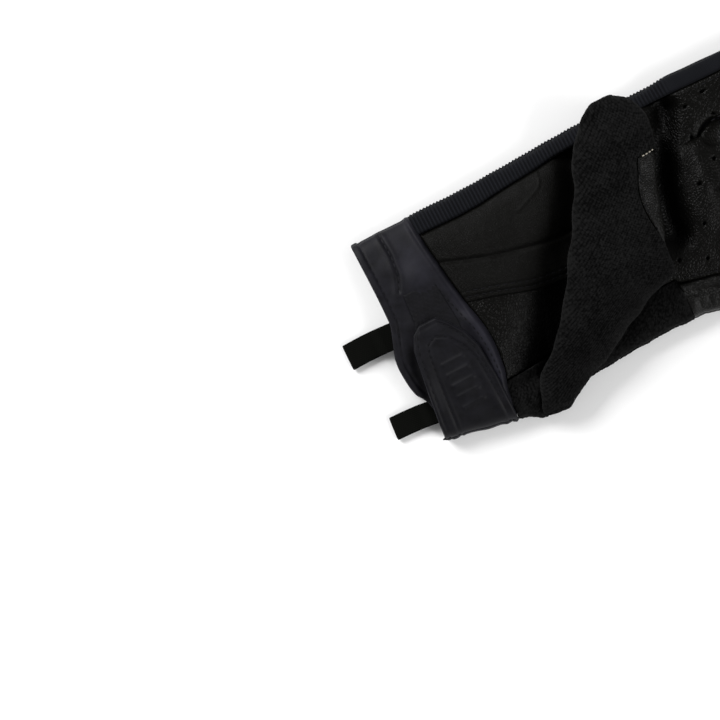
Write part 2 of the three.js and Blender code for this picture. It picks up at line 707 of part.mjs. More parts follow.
// The cuff: a flattened tube, open at both ends
const cuffBand = cuffBody(0).subtract(cuffBody(FABRIC, PAST_CUFF));
const cuffLayer = (inset) => cuffBody(inset, PAST_STRAP);
const landingPatch = layerOn(cuffLayer, PATCH_LAYER).intersect(prism(LANDING_PATCH, HAND_SIDE.high));
let closureTab = layerOn(cuffLayer, TAB_LAYER).intersect(prism(TAB, TAB_LOW_EDGE));
for (let i = 0; i < TAB_RIBS.count; i += 1) {
  const y = TAB_RIBS.firstY - i * TAB_RIBS.pitch;
  const line = [{ x: TAB_RIBS.x - TAB_RIBS.length / 2, y }, { x: TAB_RIBS.x + TAB_RIBS.length / 2, y }];
  const rib = { low: TAB_LAYER.high - RIB_ROOT, high: TAB_LAYER.high + TAB_RIBS.rise };
  closureTab = closureTab.add(layerOn(cuffLayer, rib).intersect(band(line, TAB_RIBS.width, HAND_SIDE.high)));
}

// The hand's top and underside, cut into the panels that are sewn together
const handTop = handPanel(true, LEATHER, STRIPS);
const handBack = handPanel(false, FABRIC, BACK_STRIPS);
const thumbHollow = thumbTube(TERRY);
let palmPanel = handTop
  .subtract(gussetRegion(GAP))
  .subtract(terryRegion(GAP))
  .subtract(indexRegion(GAP))
  .subtract(thumbHollow);
for (const { x, y } of PERFORATIONS) {
  const hole = Array.from({ length: PERFORATION.sides }, (_, i) => {
    const angle = (2 * Math.PI * i) / PERFORATION.sides;
    const radius = PERFORATION.diameter / 2;
    return { x: x + radius * Math.cos(angle), y: y + radius * Math.sin(angle) };
  });
  palmPanel = palmPanel.subtract(prism(hole));
}

// Side walls overlap the strip of the top that they are one piece with
const gussetWall = sideWall(
  stationsBetween(0, -1, 0, lastStation), SIDE_WALL, GAP, INTO_TOP, { last: { finger: FINGERS[0], side: -1 } },
);
const sideGusset = handTop.intersect(gussetRegion(0)).add(gussetWall);
const radialWall = sideWall(
  stationsBetween(3, 1, 0, lastStation), SIDE_WALL, GAP, INTO_TOP, { last: { finger: FINGERS[3], side: 1 } },
);
const indexSide = handTop.intersect(indexRegion(0)).add(radialWall.intersect(indexRegion(0)));

// Three strips between the fingers, each down one finger's side and up the next one's
const fourchettes = FINGERS.slice(0, -1).map((finger, i) => {
  const next = FINGERS[i + 1];
  const stops = [
    ...stationsBetween(i, 1, lastStation, lastHand),
    ...stationsBetween(i + 1, -1, lastHand + 1, lastStation),
  ];
  const tips = { first: { finger, side: 1 }, last: { finger: next, side: -1 } };
  return { name: `fourchette_${finger.name}_${next.name}`, solid: sideWall(stops, SIDE_WALL, GAP, GAP, tips) };
});

// The heel patch follows the palm's face, with its channels pressed in
let heelPatch = layerOn((lift) => underPalm(-lift), HEEL_LAYER).intersect(prism(HEEL_PATCH));
const aboveChannel = underPalm(HEEL_LAYER.high + 2).subtract(underPalm(HEEL_LAYER.channel));
for (const channel of CHANNELS) {
  heelPatch = heelPatch.subtract(aboveChannel.intersect(band(channel, CHANNEL_WIDTH)));
}

// The thumb: terry over its back and round the hand's edge, leather under it
const thumbShell = thumbTube(0).subtract(thumbHollow);
const underInnerFace = underPalm(-LEATHER, SIDE_WALL);
const palmBelowThumb = underPalm(GAP).subtract(terryRegion(0));
const terryEdge = handTop.add(radialWall).intersect(terryRegion(0)).subtract(thumbHollow);
const thumbTerry = thumbShell
  .subtract(thumbLeatherRegion(THUMB_SEAM_ANGLE, GAP))
  .subtract(underInnerFace)
  .subtract(palmBelowThumb)
  .add(terryEdge);
const thumbLeather = thumbShell.intersect(thumbLeatherRegion(0, 0)).subtract(underPalm(GAP));

// One pull loop in its own frame: a hairpin of webbing seen from its side, drawn out to the webbing's width
function pullLoop({ width, length }) {
  const outline = new THREE.Shape();
  const rise = (x) => LOOP_STEP.rise * THREE.MathUtils.smoothstep(x, LOOP_STEP.start, LOOP_STEP.end);
  const stops = [LOOP_BEND, LOOP_STEP.start, (LOOP_STEP.start + LOOP_STEP.end) / 2, LOOP_STEP.end, length];
  const height = 2 * WEBBING + WEBBING_SPACE;
  const levels = [0, height, height - WEBBING, WEBBING];
  const runs = levels.map((level) => stops.map((x) => new THREE.Vector2(x, level + rise(x))));
  const points = [
    new THREE.Vector2(LOOP_CORNER, LOOP_CORNER),
    ...runs[0],
    ...runs[3].slice().reverse(),
    ...runs[2],
    ...runs[1].reverse(),
    new THREE.Vector2(LOOP_CORNER, height - LOOP_CORNER),
    new THREE.Vector2(0, height / 2),
  ];
  outline.setFromPoints(points);
  const geometry = new THREE.ExtrudeGeometry(outline, { depth: width, bevelEnabled: false });
  geometry.rotateX(Math.PI / 2);
  geometry.translate(0, width / 2, 0);
  return geometry;
}

// Finishes
const leather = new THREE.MeshStandardMaterial({ color: 0x15140f, roughness: 0.55, metalness: 0 });
const terryCloth = new THREE.MeshStandardMaterial({ color: 0x101010, roughness: 0.95, metalness: 0 });
const neoprene = new THREE.MeshStandardMaterial({ color: 0x1c1b21, roughness: 0.6, metalness: 0 });
const ribKnit = new THREE.MeshStandardMaterial({ color: 0x191b20, roughness: 0.8, metalness: 0 });
const backFabric = new THREE.MeshStandardMaterial({ color: 0x141519, roughness: 0.85, metalness: 0 });
const webbing = new THREE.MeshStandardMaterial({ color: 0x11120f, roughness: 0.85, metalness: 0 });

const glove = new THREE.Group();
const addPiece = (name, geometry, material) => {
  const piece = new THREE.Mesh(geometry, material);
  piece.name = name;
  glove.add(piece);
  return piece;
};

addPiece('cuff_band', toGeometry(cuffBand), neoprene);
addPiece('loop_patch', toGeometry(landingPatch), neoprene);
addPiece('closure_tab', toGeometry(closureTab), neoprene);
addPiece('palm_panel', toGeometry(palmPanel), leather);
addPiece('heel_patch', toGeometry(heelPatch), leather);
addPiece('back_panel', toGeometry(handBack), backFabric);
addPiece('side_gusset', toGeometry(sideGusset), ribKnit);
addPiece('index_side', toGeometry(indexSide), leather);
for (const { name, solid } of fourchettes) addPiece(name, toGeometry(solid), backFabric);
addPiece('thumb_terry', toGeometry(thumbTerry), terryCloth);
addPiece('thumb_leather', toGeometry(thumbLeather), leather);
for (const loop of PULL_LOOPS) {
  const piece = addPiece(loop.name, pullLoop(loop), webbing);
  piece.position.set(loop.foldX, loop.foldY, 0);
  piece.rotation.z = radians(loop.degrees);
}

// The origin is the middle of the glove's underside
glove.updateMatrixWorld(true);
const box = new THREE.Box3().setFromObject(glove);
glove.position.set(-(box.min.x + box.max.x) / 2, -(box.min.y + box.max.y) / 2, -box.min.z);

export default glove;
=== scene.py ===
"""Dresses a packed mountain bike glove: a right-hand glove on its back, palm up, its thumb folded over it.

Shapes are worked out in millimetres in the glove's own plan, as its pattern was drawn: x from the cuff to
the fingertips, y to the little finger's side, z up, with x = y = 0 at the cuff's corner on the little
finger's side.
"""
import math
from functools import partial

import bmesh
import bpy
import numpy as np
from bpy.props import FloatProperty, FloatVectorProperty, PointerProperty
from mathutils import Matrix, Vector


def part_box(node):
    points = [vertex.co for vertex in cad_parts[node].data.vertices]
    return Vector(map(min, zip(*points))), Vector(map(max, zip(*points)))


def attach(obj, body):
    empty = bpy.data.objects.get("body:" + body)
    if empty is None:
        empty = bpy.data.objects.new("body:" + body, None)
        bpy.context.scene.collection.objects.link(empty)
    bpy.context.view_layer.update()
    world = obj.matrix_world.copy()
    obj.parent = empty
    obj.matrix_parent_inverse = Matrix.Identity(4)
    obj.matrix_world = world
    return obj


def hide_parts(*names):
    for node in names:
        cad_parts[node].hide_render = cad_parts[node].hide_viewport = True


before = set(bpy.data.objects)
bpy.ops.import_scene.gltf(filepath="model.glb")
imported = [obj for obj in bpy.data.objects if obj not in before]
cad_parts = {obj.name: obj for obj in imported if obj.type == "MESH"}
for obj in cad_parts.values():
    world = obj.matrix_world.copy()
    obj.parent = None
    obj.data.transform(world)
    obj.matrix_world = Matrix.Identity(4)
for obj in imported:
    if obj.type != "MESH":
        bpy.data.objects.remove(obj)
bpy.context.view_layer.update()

bl_info = {
    "name": "Mountain bike glove",
    "version": (1, 0, 0),
    "blender": (4, 5, 0),
    "location": "3D View > Sidebar > Glove",
    "description": "Builds the panels, strap, folded thumb and stitching of a glove round its packed frame",
    "category": "Object",
}

MM = 0.001

# Where the glove's plan lies in the frame: the middle fingertip and the little finger's edge fix it
MIDDLE_REACH = 232.0
LITTLE_EDGE = 3.8
PLAN_ORIGIN = np.array((
    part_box("back_panel")[1][0] / MM - MIDDLE_REACH,
    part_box("side_gusset")[1][1] / MM - LITTLE_EDGE,
    0.0,
))


# Curves and small shapes of one number

FLAT_SHARE = 0.7
HUMP_RADIUS = 0.6


def mix(start, end, share):
    """The value at a share of the way from start to end: start + (end - start) * share"""
    return start + (end - start) * share


def smooth(x, start, end):
    """Rises from 0 at start to 1 at end, level at both: 3u^2 - 2u^3"""
    u = np.clip((x - start) / (end - start), 0, 1)
    return u * u * (3 - 2 * u)


def curve(rows):
    """A smooth line through pairs of numbers: cubics, with at each pair the slope between its neighbours"""
    xs, ys = np.array(rows, float).T
    before = np.maximum(np.arange(len(xs)) - 1, 0)
    after = np.minimum(np.arange(len(xs)) + 1, len(xs) - 1)
    slopes = (ys[after] - ys[before]) / (xs[after] - xs[before])

    def at(x):
        i = np.clip(np.searchsorted(xs, x, side="right") - 1, 0, len(xs) - 2)
        span = xs[i + 1] - xs[i]
        u = np.clip((x - xs[i]) / span, 0, 1)
        start = u * (1 - u) ** 2 * span * slopes[i]
        end = u * u * (u - 1) * span * slopes[i + 1]
        return mix(ys[i], ys[i + 1], u * u * (3 - 2 * u)) + start + end

    return at


def straight(rows):
    """A line of straight stretches through pairs of numbers, level before the first and past the last"""
    xs, ys = np.array(rows, float).T
    return lambda x: np.interp(x, xs, ys)


def dome(across, squareness):
    """Rounded top of a section: (1 - |across|^p)^(1/p), 1 in the middle and 0 at both edges"""
    return (1 - np.clip(np.abs(across), 0, 1) ** squareness) ** (1 / squareness)


def flat_belly(across):
    """Underside of a section: 1 where it lies flat, then a quarter circle (1 - past^2)^(1/2) down to 0"""
    past = np.clip((np.abs(across) - FLAT_SHARE) / (1 - FLAT_SHARE), 0, 1)
    return np.sqrt(1 - past ** 2)


def spread(share):
    """Crowds even shares towards both ends: (1 - cos(pi share)) / 2"""
    return (1 - np.cos(np.pi * share)) / 2


def groove(distance, width):
    """A soft pressed line: exp(-(distance / width)^2)"""
    return np.exp(-((distance / width) ** 2))


def turned(distance, radius):
    """How far an edge has turned in, as a quarter circle: 1 at the edge, and 0 from one radius inwards"""
    return 1 - np.sqrt(1 - (1 - np.clip(distance / radius, 0, 1)) ** 2)


def distance_to(x, y, line):
    """Shortest distance in the plan from points to a line of straight stretches: to each stretch, from its
    nearest point, whose share of the stretch is the dot product of both vectors over the stretch's own
    squared length"""
    best = np.full(np.broadcast(x, y).shape, 1e9)
    for (x0, y0), (x1, y1) in zip(line, line[1:]):
        dx, dy = x1 - x0, y1 - y0
        along = np.clip(((x - x0) * dx + (y - y0) * dy) / (dx * dx + dy * dy), 0, 1)
        best = np.minimum(best, np.hypot(x - x0 - along * dx, y - y0 - along * dy))
    return best


def ripple(x, y, size, seed):
    """Gentle unevenness of cloth: a third of the sum of seven sine waves of random direction and phase,
    each 0.6 to 1.6 times as long as size"""
    total = np.zeros(np.broadcast(x, y).shape)
    for turn, phase, stretch in np.random.RandomState(seed).uniform(size=(7, 3)):
        length = size * (0.6 + stretch)
        way = x * math.cos(math.tau * turn) + y * math.sin(math.tau * turn)
        total += np.sin(math.tau * (way / length + phase))
    return total / 3


def pile(a, b, pitch, seed):
    """Towelling loops, 0 to 1: humps tall * (1 - (distance / 0.6)^2)^(1/2) round the jittered middles of a
    lattice's cells, each point taking the highest hump of the nine cells round it"""
    table = np.random.RandomState(seed).uniform(size=(3, 64, 64))
    u, v = a / pitch, b / pitch
    best = np.zeros(np.shape(u))
    for i in (-1, 0, 1):
        for j in (-1, 0, 1):
            row, column = np.floor(u).astype(int) + i, np.floor(v).astype(int) + j
            shift_u, shift_v, tall = table[:, row % 64, column % 64]
            away = np.hypot(u - row - 0.4 - 0.2 * shift_u, v - column - 0.42 - 0.16 * shift_v)
            hump = np.sqrt(np.clip(1 - (away / HUMP_RADIUS) ** 2, 0, 1))
            best = np.maximum(best, (0.6 + 0.4 * tall) * hump)
    return best


# The hand, as its pattern gives it

# Between the edges of two panels that meet
GAP = 0.3

# Low and high edge of the strip that joins palm and back: along the hand, along a finger and at its tip
HAND_SIDE = (2.0, 5.0)
FINGER_SIDE = (3.0, 9.0)
TIP_SIDE = (5.6, 6.6)

# Roundness of the sections, and where one form turns into the next
FINGER_CROWN = 13.0
HAND_SQUARENESS = 2.6
FINGER_SQUARENESS = 2.4
TURN_LENGTH = 12.0
PARTING_LENGTH = 9.0
TIP_LENGTH = 12.0
TIP_PAST = 1.4
KNUCKLES = 146.0

# Sections of the hand: x, y of the little finger's edge, y of the index side's edge, height of the palm
HAND = np.array((
    (20, 0.5, -88.6, 13.0),
    (32, 0.5, -90.4, 13.8),
    (45, 0.5, -90.0, 14.8),
    (60, 1.0, -88.3, 15.4),
    (80, 1.8, -86.9, 15.8),
    (98, 2.6, -86.2, 15.8),
    (112, 3.0, -87.0, 15.4),
    (128, 3.2, -90.8, 14.6),
    (143, 3.8, -94.0, 13.6),
    (150, 3.6, -94.6, 13.2),
))
hand_little = curve(HAND[:, [0, 1]])
hand_index = curve(HAND[:, [0, 2]])
hand_crown = curve(HAND[:, [0, 3]])

# Folds of the palm leather: from x, y, to x, y, how far they lift it, and half width
FOLDS = (
    (144, -26, 131, -52, 1.5, 5.0),
    (142, -27, 137.5, -41, 1.3, 4.0),
    (121, -80, 108, -72, -1.0, 4.0),
)

# Points where two fingers part, with the two outer edges first and last
PARTING = ((143, 3.8), (143, -23), (148, -45), (147, -68.5), (147, -94.3))

# Each finger: middle line, half width at its root, half way and at its tip, slant in degrees, and reach
FINGERS = (
    ("little", -9.0, 12.6, 11.7, 10.6, 0.5, 203),
    ("ring", -34.0, 10.3, 11.6, 11.0, -1.5, 224),
    ("middle", -56.8, 10.9, 12.0, 11.4, -3.5, MIDDLE_REACH),
    ("index", -82.0, 12.3, 12.3, 11.2, -6.5, 221),
)
INDEX = len(FINGERS) - 1

# Seams of the palm leather: with the gusset, with the thumb's towelling and with the index side
GUSSET_SEAM = ((15, -7.3), (50, -7.6), (62, -6.4), (78, -5), (88, -3.8), (128, -2.2), (155, -3), (190, -3.2),
               (198, -4.6), (206, -7.6))
THUMB_SIDE_SEAM = ((15, -75.6), (41, -75), (60, -73), (80, -71), (107.6, -70))
INDEX_SEAM = ((108.9, -71.8), (125, -76), (147, -82), (165, -87.5), (190, -91.5), (206, -94), (215, -94.5),
              (223, -93))
gusset_seam = curve(GUSSET_SEAM)
radial_seam = curve(THUMB_SIDE_SEAM + INDEX_SEAM)

# Sections of the cuff, with the columns of the hand's, and its two ends as x at each y
CUFF = np.array((
    (-8, 0.2, -80.6, 12.4),
    (0, 0.4, -82.4, 12.6),
    (12, 0.5, -84.8, 12.9),
    (22, 0.5, -87.0, 13.1),
    (34, 0.5, -89.0, 13.3),
))
cuff_little = curve(CUFF[:, [0, 1]])
cuff_index = curve(CUFF[:, [0, 2]])
cuff_crown = curve(CUFF[:, [0, 3]])
cuff_opening = curve(((-95, -1.2), (-74, -1.4), (-68, -2.6), (-63, -5.4), (-53, -6.6), (-47, -6.0),
                      (-40, -3.6), (-33, -1.6), (5, -1.5)))
cuff_seam = curve(((-95, 29), (-85, 28), (-79, 28.4), (-70, 31), (-55, 32), (-38, 29), (-25, 27), (-8, 25),
                   (5, 24.5)))


def ray_line(number, x):
    """Line between two rays of the hand, straight from cuff to parting, or an outer edge"""
    if number == 0:
        return hand_little(x)
    if number == len(FINGERS):
        return hand_index(x)
    start = mix(HAND[1, 1], HAND[1, 2], number / len(FINGERS))
    part_x, part_y = PARTING[number]
    return mix(start, part_y, (x - HAND[1, 0]) / (part_x - HAND[1, 0]))


def tip_share(ray, x):
    """0 up to where a fingertip starts to round, 1 at its very end"""
    return np.clip((x - FINGERS[ray][6] + TIP_LENGTH) / (TIP_LENGTH + TIP_PAST), 0, 1)


def finger_edge(ray, side, x):
    """One side of a finger: a half width that changes in two straight stretches and rounds off at the tip
    as a squarish ellipse, eased out of the point where the fingers part"""
    _, middle, root, half_way, tip, slant, reach = FINGERS[ray]
    part_x, part_y = PARTING[ray if side < 0 else ray + 1]
    share = np.clip((x - part_x) / (reach - part_x), 0, 1)
    half = mix(mix(root, half_way, np.minimum(share * 2, 1)), tip, np.maximum(share * 2 - 1, 0))
    half = half * dome(tip_share(ray, x), 2.2)
    centre = middle + math.tan(math.radians(slant)) * (x - KNUCKLES)
    parted = np.sqrt(smooth(x, part_x, part_x + PARTING_LENGTH))
    return mix(part_y, centre - side * half, parted)


def ray_edges(ray, x):
    """Both sides of a ray: its lines in the hand, and past the parting the sides of its finger"""
    sides = []
    for side, number in ((-1, ray), (1, ray + 1)):
        inside = ray_line(number, x)
        sides.append(np.where(x > PARTING[number][0], finger_edge(ray, side, x), inside))
    return sides


def part_line(ray, across):
    """x of the line where a finger leaves the hand"""
    return mix(PARTING[ray][0], PARTING[ray + 1][0], across)


def across_ray(ray, x, y):
    """Share of the way across a ray: 0 at its side towards the little finger, 1 at the other"""
    left, right = ray_edges(ray, x)
    return np.clip((left - y) / np.maximum(left - right, 1e-3), 0, 1)


def between_edges(y, little, index):
    """Place between the glove's two edges, from 1 at the little finger's to -1 at the index side's"""
    return (2 * y - little - index) / (little - index)


def finger_sides(ray, x):
    """Heights between which the strip on a finger's side runs, closing up towards the tip"""
    end = tip_share(ray, x) ** 2
    return mix(FINGER_SIDE[0], TIP_SIDE[0], end), mix(FINGER_SIDE[1], TIP_SIDE[1], end)


def fold_lift(x, y):
    """Lift of the palm by its folds: each is lift * exp(-(distance / half width)^2)"""
    return sum(lift * groove(distance_to(x, y, ((x0, y0), (x1, y1))), half)
               for x0, y0, x1, y1, lift, half in FOLDS)


def top_height(ray, x, y):
    """Height of the palm side. The hand's one wide dome turns into each finger's own just before the
    parting: a mix of both heights by a share that rises smoothly over the turn's length"""
    across = across_ray(ray, x, y)
    part_x = part_line(ray, across)
    turning = smooth(x, part_x - TURN_LENGTH, part_x)
    in_hand = between_edges(y, hand_little(x), hand_index(x))
    hand = mix(HAND_SIDE[1], hand_crown(x), dome(in_hand, HAND_SQUARENESS))
    _, side = finger_sides(ray, x)
    crown = side + (FINGER_CROWN - FINGER_SIDE[1]) * dome(tip_share(ray, x), 2)
    finger = mix(side, crown, dome(2 * across - 1, FINGER_SQUARENESS))
    folds = fold_lift(x, y) * dome(in_hand, 4) * (1 - 0.6 * turning) * (1 - smooth(x, part_x, part_x + 8))
    return mix(hand, finger, turning) + folds


def under_height(ray, x, y):
    """Height of the back of the hand, which lies on the table: 0 along its flat share, and rounded up to
    the height of its sides"""
    across = across_ray(ray, x, y)
    part_x = part_line(ray, across)
    turning = smooth(x, part_x - TURN_LENGTH, part_x)
    side, _ = finger_sides(ray, x)
    floor = side - FINGER_SIDE[0] * dome(tip_share(ray, x), 2)
    hand = mix(HAND_SIDE[0], 0, flat_belly(between_edges(y, hand_little(x), hand_index(x))))
    return mix(hand, mix(side, floor, flat_belly(2 * across - 1)), turning)


def palm_height(x, y):
    """Height of the palm side before the fingers part, whichever ray a point is on"""
    lines = [ray_line(number, x) for number in range(1, len(FINGERS))]
    rays = [top_height(ray, x, y) for ray in range(len(FINGERS))]
    return np.select([y > line for line in lines], rays[:-1], rays[-1])


def cuff_height(x, y):
    """Height of the cuff's palm side: from its sides up to its crown by the same dome as the hand's"""
    across = between_edges(y, cuff_little(x), cuff_index(x))
    return mix(HAND_SIDE[1], cuff_crown(x), dome(across, HAND_SQUARENESS))


# Grids of points: arrays of rows, columns and x, y, z

# A sheet that lies neither way up: its faces stay as its grid gives them
AS_DRAWN = (0, 0, 0)


def normals(points, outward, wrap=False):
    """Unit normals of a grid: the cross product of its two directions. outward is a way they lean to, or
    None for away from the middle of the rows"""
    if wrap:
        padded = np.concatenate((points[:, -1:], points, points[:, :1]), axis=1)
        across = np.gradient(padded, axis=1)[:, 1:-1]
    else:
        across = np.gradient(points, axis=1)
    cross = np.cross(np.gradient(points, axis=0), across)
    cross /= np.maximum(np.linalg.norm(cross, axis=2, keepdims=True), 1e-9)
    lean = points - points.mean(axis=1, keepdims=True) if outward is None else np.array(outward, float)
    return cross * (1 if (cross * lean).sum() > 0 else -1)


def walked(points, axis):
    """Distance walked over a grid from its first row (axis 0) or column (axis 1)"""
    steps = np.linalg.norm(np.diff(points, axis=axis), axis=2)
    start = np.zeros_like(steps.take([0], axis))
    return np.concatenate((start, np.cumsum(steps, axis)), axis)


def from_ends(points, axis):
    """Distance to the nearer of the first and the last row or column"""
    way = walked(points, axis)
    return np.minimum(way, way.take([-1], axis) - way)


def stack(x, y, z):
    """Points from their x, y and z, each spread over the same rows and columns"""
    return np.stack(np.broadcast_arrays(x, y, z), axis=-1).astype(float)


def quads(rows, columns, start, wrap):
    """Four corners for each face of a grid, its points numbered row by row from start. wrap joins the last
    column to the first"""
    index = np.arange(rows * columns).reshape(rows, columns) + start
    if wrap:
        index = np.hstack((index, index[:, :1]))
    corners = (index[:-1, :-1], index[1:, :-1], index[1:, 1:], index[:-1, 1:])
    return np.stack(corners, axis=-1).reshape(-1, 4)


def make_piece(name, grids, finish, nodes=(), wall=0.0, outward=(0, 0, 1), wrap=False, closed=False,
               uv=None, tone=None):
    """A piece from grids of points in the glove's plan. Doubles are merged. An open sheet gets its wall
    inwards by a Solidify modifier, its outside being the side that outward, or with None its own middle,
    says. A closed one has its faces turned outwards. The shading given at each point, 0 to 1, is painted
    light and shade that the finish puts into its base colour"""
    points = np.concatenate([grid.reshape(-1, 3) for grid in grids])
    if not np.isfinite(points).all():
        raise ValueError(f"{name} has points that could not be worked out")
    faces = []
    start = 0
    for grid in grids:
        faces.append(quads(grid.shape[0], grid.shape[1], start, wrap))
        start += grid.shape[0] * grid.shape[1]
    faces = np.concatenate(faces)
    if not closed:
        a, b, c, d = (points[faces[:, i]] for i in range(4))
        face_normals = np.cross(c - a, d - b)
        lean = (a + c) / 2 - points.mean(axis=0) if outward is None else np.array(outward, float)
        if (face_normals * lean).sum() < 0:
            faces = faces[:, ::-1]
    mesh = bpy.data.meshes.new(name)
    mesh.from_pydata(((points + PLAN_ORIGIN) * MM).tolist(), [], faces.tolist())
    if uv is not None:
        layer = mesh.uv_layers.new(name="cloth")
        corners = np.concatenate([u.reshape(-1, 2) for u in uv])[faces.ravel()]
        layer.data.foreach_set("uv", corners.ravel())
    if tone is not None:
        layer = mesh.attributes.new("tone", "FLOAT", "POINT")
        layer.data.foreach_set("value", np.concatenate([t.ravel() for t in tone]).astype(np.float32))
    build = bmesh.new()
    build.from_mesh(mesh)
    bmesh.ops.remove_doubles(build, verts=build.verts, dist=2e-6)
    if closed:
        bmesh.ops.recalc_face_normals(build, faces=build.faces)
    build.to_mesh(mesh)
    build.free()
    mesh.polygons.foreach_set("use_smooth", np.ones(len(mesh.polygons), bool))
    mesh.materials.append(finish)
    piece = bpy.data.objects.new(name, mesh)
    bpy.context.scene.collection.objects.link(piece)
    if wall:
        thicken = piece.modifiers.new("wall", "SOLIDIFY")
        thicken.thickness = wall * MM
        thicken.offset = -1
    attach(piece, "root")
    if nodes:
        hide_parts(*nodes)
    return piece


def smooth_line(points, step=0.25):
    """A plan line through points: x and y are each a smooth curve of the distance along their chords"""
    points = np.array(points, float)
    way = np.concatenate(([0], np.cumsum(np.hypot(*np.diff(points, axis=0).T))))
    along = np.linspace(0, way[-1], max(int(way[-1] / step), 8))
    x = curve(np.stack((way, points[:, 0]), axis=1))(along)
    y = curve(np.stack((way, points[:, 1]), axis=1))(along)
    return x, y


def distance_to_curve(x, y, points, step):
    """Shortest distance in the plan to the smooth line through points"""
    return distance_to(x, y, np.stack(smooth_line(points, step), axis=1))


def on_height(height, line, lift=0.0):
    """A plan line laid on a height function: its points, and the surface's normals there, which lean
    against its slopes over a small step"""
    x, y = line
    step = 0.3
    z = height(x, y)
    tilt_x = (height(x + step, y) - height(x - step, y)) / (2 * step)
    tilt_y = (height(x, y + step) - height(x, y - step)) / (2 * step)
    normal = stack(-tilt_x, -tilt_y, np.ones_like(z))
    normal /= np.linalg.norm(normal, axis=1, keepdims=True)
    return stack(x, y, z) + normal * lift, normal


def stitch_grids(path, normal, length, gap, width, high):
    """Stitches along a path: each is a capsule, its half width and height (1 - (2t - 1)^4)^(1/2) of the
    thread's along it, with both ends drawn down into the cloth by the fourth power of 2t - 1"""
    way = np.concatenate(([0], np.cumsum(np.linalg.norm(np.diff(path, axis=0), axis=1))))
    count = max(int(way[-1] / (length + gap)), 1)
    middles = (np.arange(count) + 0.5) * way[-1] / count

    def at(place, values):
        return np.stack([np.interp(place, way, values[:, i]) for i in range(3)], axis=1)

    start, end, up = at(middles - length / 2, path), at(middles + length / 2, path), at(middles, normal)
    along = end - start
    side = np.cross(along, up)
    side /= np.maximum(np.linalg.norm(side, axis=1, keepdims=True), 1e-9)
    t = np.linspace(0, 1, 7)[None, :, None, None]
    turn = np.linspace(0, math.tau, 7)[None, None, :, None]
    swell = np.sqrt(1 - (2 * t - 1) ** 4)
    height = high * (swell / 2 * np.sin(turn) + 0.3 - (2 * t - 1) ** 4)
    grids = start[:, None, None] + along[:, None, None] * t
    grids = grids + side[:, None, None] * (width / 2 * swell * np.cos(turn)) + up[:, None, None] * height
    return list(grids)


# Finishes


class Wire:
    """A number on its way through a material: Python's operators on it add Math nodes"""

    def __init__(self, finish, socket):
        self.finish = finish
        self.socket = socket

    def joined(self, operation, *values):
        """The result of a Math node on numbers and wires"""
        return self.finish.number("ShaderNodeMath", 0, {"operation": operation}, dict(enumerate(values)))

    def __add__(self, other):
        return self.joined("ADD", self, other)

    def __sub__(self, other):
        return self.joined("SUBTRACT", self, other)

    def __mul__(self, other):
        return self.joined("MULTIPLY", self, other)

    def __rsub__(self, other):
        return self.joined("SUBTRACT", other, self)

    __radd__ = __add__
    __rmul__ = __mul__

    def sine(self):
        return self.joined("SINE", self)

    def band(self, low, high):
        """0 below low, 1 above high and smooth between"""
        inputs = {"Value": self, "From Min": low, "From Max": high}
        return self.finish.number("ShaderNodeMapRange", 0, {"interpolation_type": "SMOOTHSTEP"}, inputs)


class Finish:
    """One material: its Principled shader and the nodes that feed it. Lengths are in metres"""

    def __init__(self, name, fixed):
        self.material = bpy.data.materials.new(name)
        self.material.use_nodes = True
        self.tree = self.material.node_tree
        self.shader = self.tree.nodes["Principled BSDF"]
        self.surface(fixed)
        self.place = self.node("ShaderNodeTexCoord").outputs["Object"]

    def feed(self, socket, value):
        """Links a socket to a wire or another socket, or sets it to a fixed value"""
        if isinstance(value, Wire):
            value = value.socket
        if isinstance(value, bpy.types.NodeSocket):
            self.tree.links.new(value, socket)
        else:
            socket.default_value = value

    def surface(self, inputs):
        """Sets or links the shader's own inputs, by name"""
        for key, value in inputs.items():
            self.feed(self.shader.inputs[key], value)

    def node(self, kind, settings=None, inputs=None):
        """A node of any kind: its settings first, then its inputs by name or number"""
        node = self.tree.nodes.new(kind)
        for key, value in (settings or {}).items():
            setattr(node, key, value)
        for key, value in (inputs or {}).items():
            self.feed(node.inputs[key], value)
        return node

    def number(self, kind, output, settings=None, inputs=None):
        """The wire out of a new node's output"""
        return Wire(self, self.node(kind, settings, inputs).outputs[output])

    def tone(self):
        """The painted light and shade, 0 to 1, that the piece carries at each point"""
        return self.number("ShaderNodeAttribute", "Fac", {"attribute_name": "tone"})

    def first_two(self, vector):
        """The first two numbers of a vector"""
        split = self.node("ShaderNodeSeparateXYZ", None, {0: vector})
        return Wire(self, split.outputs[0]), Wire(self, split.outputs[1])

    def stretched(self, scale, turn):
        """The place on the piece, turned round Z and scaled along each axis"""
        inputs = {"Vector": self.place, "Scale": scale, "Rotation": (0, 0, turn)}
        return self.node("ShaderNodeMapping", None, inputs).outputs[0]

    def clouds(self, size, detail=2.0, where=None):
        """Noise, 0 to 1, of blotches about as large as size"""
        inputs = {"Vector": where or self.place, "Scale": 1 / size, "Detail": detail}
        return self.number("ShaderNodeTexNoise", 0, None, inputs)

    def pebbles(self, size):
        """Leather grain: 0 in the lines between round cells of a size, rising quickly to 1 on the cells"""
        inputs = {"Vector": self.place, "Scale": 1 / size}
        edges = self.number("ShaderNodeTexVoronoi", 0, {"feature": "DISTANCE_TO_EDGE"}, inputs)
        return edges.band(0.0, 0.32)

    def shade(self, factor, dark, light):
        """A colour between two by a factor. Either colour may come out of another node"""
        inputs = {0: factor, 6: dark, 7: light}
        inputs = {key: (*value, 1) if isinstance(value, tuple) else value for key, value in inputs.items()}
        return self.node("ShaderNodeMix", {"data_type": "RGBA"}, inputs).outputs[2]

    def bump(self, height, depth):
        """The normal over a relief of a depth, in metres"""
        inputs = {"Height": height, "Distance": depth, "Strength": 1.0}
        return self.node("ShaderNodeBump", None, inputs).outputs[0]


